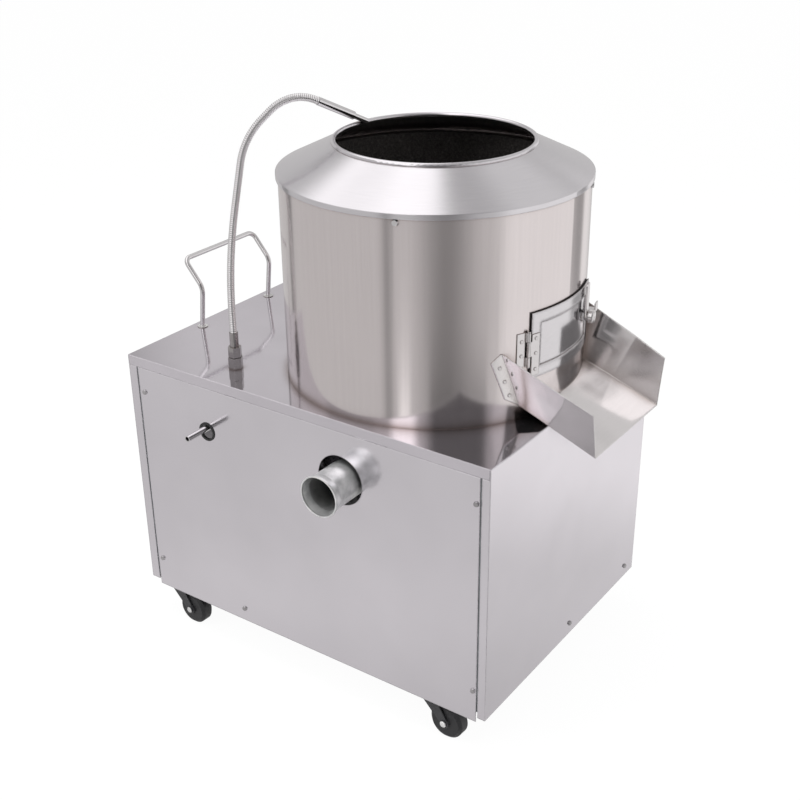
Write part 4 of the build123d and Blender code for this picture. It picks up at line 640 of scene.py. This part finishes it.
def rounded_route(points, bends):
    """Places along straight runs that are joined by arcs of the given radii."""
    spots = [Vector(point) for point in points]
    places = [spots[0]]
    for before, corner, after, radius in zip(spots, spots[1:], spots[2:], bends):
        back = (before - corner).normalized()
        ahead = (after - corner).normalized()
        half = back.angle(ahead) / 2
        middle = corner + (back + ahead).normalized() * (radius / math.sin(half))
        reach = radius / math.tan(half)
        first = corner + back * reach - middle
        last = corner + ahead * reach - middle
        sweep = first.angle(last)
        sign = 1 if first.cross(last) > 0 else -1
        steps = max(ARC_LEAST_STEPS, int(sweep * radius / ARC_STEP))
        places += [middle + turned(first, sign * sweep * k / steps) for k in range(steps + 1)]
    places.append(spots[-1])
    return places


def walk(places, step):
    """Evenly spaced places along a chain of places, each with its direction."""
    spaced = []
    left = 0.0
    for a, b in zip(places, places[1:]):
        run = (b - a).length
        way = (b - a) / run if run else Vector((0, 1))
        while left <= run:
            spaced.append((a + way * left, way))
            left += step
        left -= run
    return spaced


def make_arm(material):
    """Corrugated metal hose of the water arm."""
    turn = math.radians(ARM_TURN)
    outward = Vector((math.cos(turn), math.sin(turn), 0))
    upward = Vector((0, 0, 1))
    side = upward.cross(outward)
    rings = []
    route = rounded_route(ARM_ROUTE, ARM_BENDS)
    for k, (spot, way) in enumerate(walk(route, ARM_RIB / ARM_RIB_STEPS)):
        place = ARM_FOOT + outward * spot.x + upward * spot.y
        normal = outward * way.y - upward * way.x
        wave = 0.5 + 0.5 * math.cos(2 * math.pi * k / ARM_RIB_STEPS)
        radius = ARM_RADIUS - ARM_GROOVE * (1 - wave) ** ARM_GROOVE_POWER
        rings.append(circle(place, radius, normal, side, ARM_SIDES))
    add_piece(ring_mesh("arm_hose", rings), "water_arm", "chrome", material, "gooseneck_arm")


# riveted ends of the caster axles: a low dome on each outer face of a fork, with the turns of its
# rings in radians
CORNERS = ("front_left", "front_right", "back_right", "back_left")
AXLE_OUTER = 0.0191
AXLE_END_RADIUS = 0.0058
AXLE_END_RISE = 0.0016
AXLE_END_SINK = 0.0004
AXLE_END_SIDES = 40
AXLE_DOME_TURNS = (0.0, 0.5, 0.95, 1.3)


def lathe(name, outline, place, axis):
    """Closed turned mesh: outline of (distance along the axis, radius) points."""
    across = axis.orthogonal().normalized()
    upward = axis.cross(across)
    rings = [
        circle(place + axis * along, radius, across, upward, AXLE_END_SIDES)
        for along, radius in outline
    ]
    return ring_mesh(name, rings)


def make_axle_ends(material):
    """Bright riveted ends of the caster axles, on both sides of every fork."""
    dome = [
        (AXLE_OUTER + AXLE_END_RISE * math.sin(turn), AXLE_END_RADIUS * math.cos(turn))
        for turn in AXLE_DOME_TURNS
    ]
    outline = [(AXLE_OUTER - AXLE_END_SINK, AXLE_END_RADIUS), *dome]
    for corner in CORNERS:
        low, high = (Vector(c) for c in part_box(f"caster_wheel_{corner}"))
        joint = next(j for j in frame["joints"] if j["name"] == f"roll_{corner}")
        axis = Vector(joint["axis"]).normalized()
        for side, sign in (("in", -1), ("out", 1)):
            mesh = lathe(f"axle_end_{corner}_{side}", outline, (low + high) / 2, sign * axis)
            add_piece(mesh, f"fork_{corner}", "zinc", material)


# ---------------------------------------------------------------- floor
FLOOR_HALF = 9
FLOOR_CORNERS = ((-1, -1), (1, -1), (1, 1), (-1, 1))
FLOOR_TINT = (0.9, 0.9, 0.9, 1)
FLOOR_ROUGH = 0.9
FLOOR_GLOW = 0.93
FLOOR_WHITE = 1.03


def make_floor():
    """Pale floor that keeps a soft shadow and lets reflections see the studio."""
    work = bmesh.new()
    work.faces.new([work.verts.new((FLOOR_HALF * x, FLOOR_HALF * y, 0)) for x, y in FLOOR_CORNERS])
    mesh = bpy.data.meshes.new("floor")
    work.to_mesh(mesh)
    work.free()
    floor = bpy.data.objects.new("floor", mesh)
    bpy.context.scene.collection.objects.link(floor)
    material, tree, shader = new_material("floor")
    shader.inputs["Base Color"].default_value = FLOOR_TINT
    shader.inputs["Roughness"].default_value = FLOOR_ROUGH
    glow = tree.nodes.new("ShaderNodeEmission")
    glow.inputs["Strength"].default_value = FLOOR_WHITE
    clear = tree.nodes.new("ShaderNodeBsdfTransparent")
    path = tree.nodes.new("ShaderNodeLightPath")
    plain = shader.outputs[0]
    pale = blend_shaders(tree, FLOOR_GLOW, plain, glow.outputs[0])
    seen = blend_shaders(tree, path.outputs["Is Camera Ray"], plain, pale)
    whole = blend_shaders(tree, path.outputs["Is Glossy Ray"], seen, clear.outputs[0])
    tree.links.new(whole, tree.nodes["Material Output"].inputs["Surface"])
    mesh.materials.append(material)


# ---------------------------------------------------------------- studio
# plain studio that the metal reflects, with azimuth 0 on the chute's side and -90 in front; each
# panel has a middle azimuth and half width, a lowest and highest elevation, the softness of its
# edges and a brightness, and lies over the panels before it
STUDIO_FLOOR = 0.57
STUDIO_CEILING = 1.3
CEILING_START = 30
CEILING_FULL = 46
STUDIO_TINT = (1.0, 0.98, 0.975)
PANELS = {
    "front_left_floor": (-130, 20, -36.5, -33, 3, 0.65),
    "front_left_near_floor": (-130, 20, -90, -40, 4, 0.50),
    "right_wall": (46, 53, -90, 24, 20, 0.86),
    "right_floor": (64, 22, -90, -31, 5, 0.62),
    "right_near_floor": (64, 22, -90, -37, 5, 0.50),
    "right_ceiling": (23, 95, 34, 90, 18, 0.46),
    "back_lamp": (86, 24, 36, 59, 12, 0.68),
    "front_left_beam": (-145, 9, 48, 58, 6, 0.70),
    "left_ceiling": (160, 12, 46, 62, 8, 1.12),
    "back_wall": (118, 20, 8, 34, 14, 0.575),
    "back_pillar": (143, 5, 22, 34, 6, 0.26),
    "front_left_shelf": (-125, 22, 21, 31, 10, 0.40),
    "left_bar": (172, 4, -40, 10, 5, 0.22),
    "dark_screen": (-48, 15, -48, 30, 30, 0.26),
    "dark_horizon": (-66, 28, -10, 14, 8, 0.16),
    "dark_lintel": (-38, 23, 14, 44, 12, 0.10),
    "dark_floor": (-38, 22, -40, -26, 4, 0.08),
    "window_bar": (-91, 3, -40, 10, 7, 0.28),
    "bright_window": (-80, 9, 12, 44, 8, 1.50),
    "bright_floor": (-79, 4, -40, -26.5, 4, 1.35),
    "door_post": (73, 8, -24, 8, 6, 0.36),
}
DAYLIGHT = 0.55
BACKDROP = 1.0


def grey(tree, value):
    """Studio colour of a brightness, with the tint of its lamps."""
    node = tree.nodes.new("ShaderNodeRGB")
    node.outputs[0].default_value = (*(value * c for c in STUDIO_TINT), 1)
    return node.outputs[0]


def white_light(tree, strength):
    """White background of a strength."""
    node = tree.nodes.new("ShaderNodeBackground")
    node.inputs["Color"].default_value = (*WHITE, 1)
    node.inputs["Strength"].default_value = strength
    return node.outputs[0]


def panel_share(tree, azimuth, elevation, *place):
    """1 on a panel of the studio and 0 off it, with soft edges."""
    middle, half, lowest, highest, soft = (math.radians(value) for value in place)
    turn = math_node(tree, "SUBTRACT", azimuth, middle)
    aside = math_node(tree, "ARCCOSINE", math_node(tree, "COSINE", turn))
    across = fade(tree, aside, half + soft / 2, half - soft / 2)
    above = fade(tree, elevation, lowest - soft / 2, lowest + soft / 2)
    beneath = fade(tree, elevation, highest + soft / 2, highest - soft / 2)
    return math_node(tree, "MULTIPLY", math_node(tree, "MULTIPLY", across, above), beneath)


def make_world():
    """White background; metal sees the walls, panels and ceiling of the studio."""
    world = bpy.data.worlds.new("studio")
    bpy.context.scene.world = world
    world.use_nodes = True
    tree = world.node_tree
    tree.nodes.clear()
    coords = tree.nodes.new("ShaderNodeTexCoord")
    split = tree.nodes.new("ShaderNodeSeparateXYZ")
    tree.links.new(coords.outputs["Generated"], split.inputs[0])
    azimuth = math_node(tree, "ARCTAN2", split.outputs["Y"], split.outputs["X"])
    elevation = math_node(tree, "ARCSINE", split.outputs["Z"])
    rise = fade(tree, elevation, math.radians(CEILING_START), math.radians(CEILING_FULL))
    seen = blend_colours(tree, rise, grey(tree, STUDIO_FLOOR), grey(tree, STUDIO_CEILING))
    for *place, brightness in PANELS.values():
        share = panel_share(tree, azimuth, elevation, *place)
        seen = blend_colours(tree, share, seen, grey(tree, brightness))
    studio = tree.nodes.new("ShaderNodeBackground")
    tree.links.new(seen, studio.inputs["Color"])
    path = tree.nodes.new("ShaderNodeLightPath")
    glossy, camera = (path.outputs[f"Is {kind} Ray"] for kind in ("Glossy", "Camera"))
    light = blend_shaders(tree, glossy, white_light(tree, DAYLIGHT), studio.outputs[0])
    whole = blend_shaders(tree, camera, light, white_light(tree, BACKDROP))
    out = tree.nodes.new("ShaderNodeOutputWorld")
    tree.links.new(whole, out.inputs["Surface"])


# ---------------------------------------------------------------- lamps
# each lamp is a square softbox with its place, the point that it faces, its side and its power;
# the metal does not reflect it
LAMPS = {
    "overhead": ((-0.35, -0.25, 2.6), (0, 0, 0.8), 1.4, 28),
    "key": ((-1.6, -2.4, 2.2), (0, 0, 0.5), 1.6, 40),
    "fill": ((2.6, -0.6, 1.6), (0, 0, 0.5), 1.6, 24),
}


def make_lights():
    """Overhead softbox, a key from the left and a weaker fill from the right."""
    for name, (place, target, side, power) in LAMPS.items():
        data = bpy.data.lights.new(name, "AREA")
        data.shape = "SQUARE"
        data.size = side
        data.energy = power
        lamp = bpy.data.objects.new(name, data)
        lamp.location = place
        ahead = Vector(target) - Vector(place)
        lamp.rotation_euler = ahead.to_track_quat("-Z", "Y").to_euler()
        lamp.visible_glossy = False
        bpy.context.scene.collection.objects.link(lamp)


# ---------------------------------------------------------------- build the scene
bpy.context.scene.view_settings.view_transform = "Standard"
finishes = make_materials()
dress_nodes(finishes)
make_arm(finishes["chrome"])
make_axle_ends(finishes["zinc"])
make_floor()
make_world()
make_lights()
make_camera()
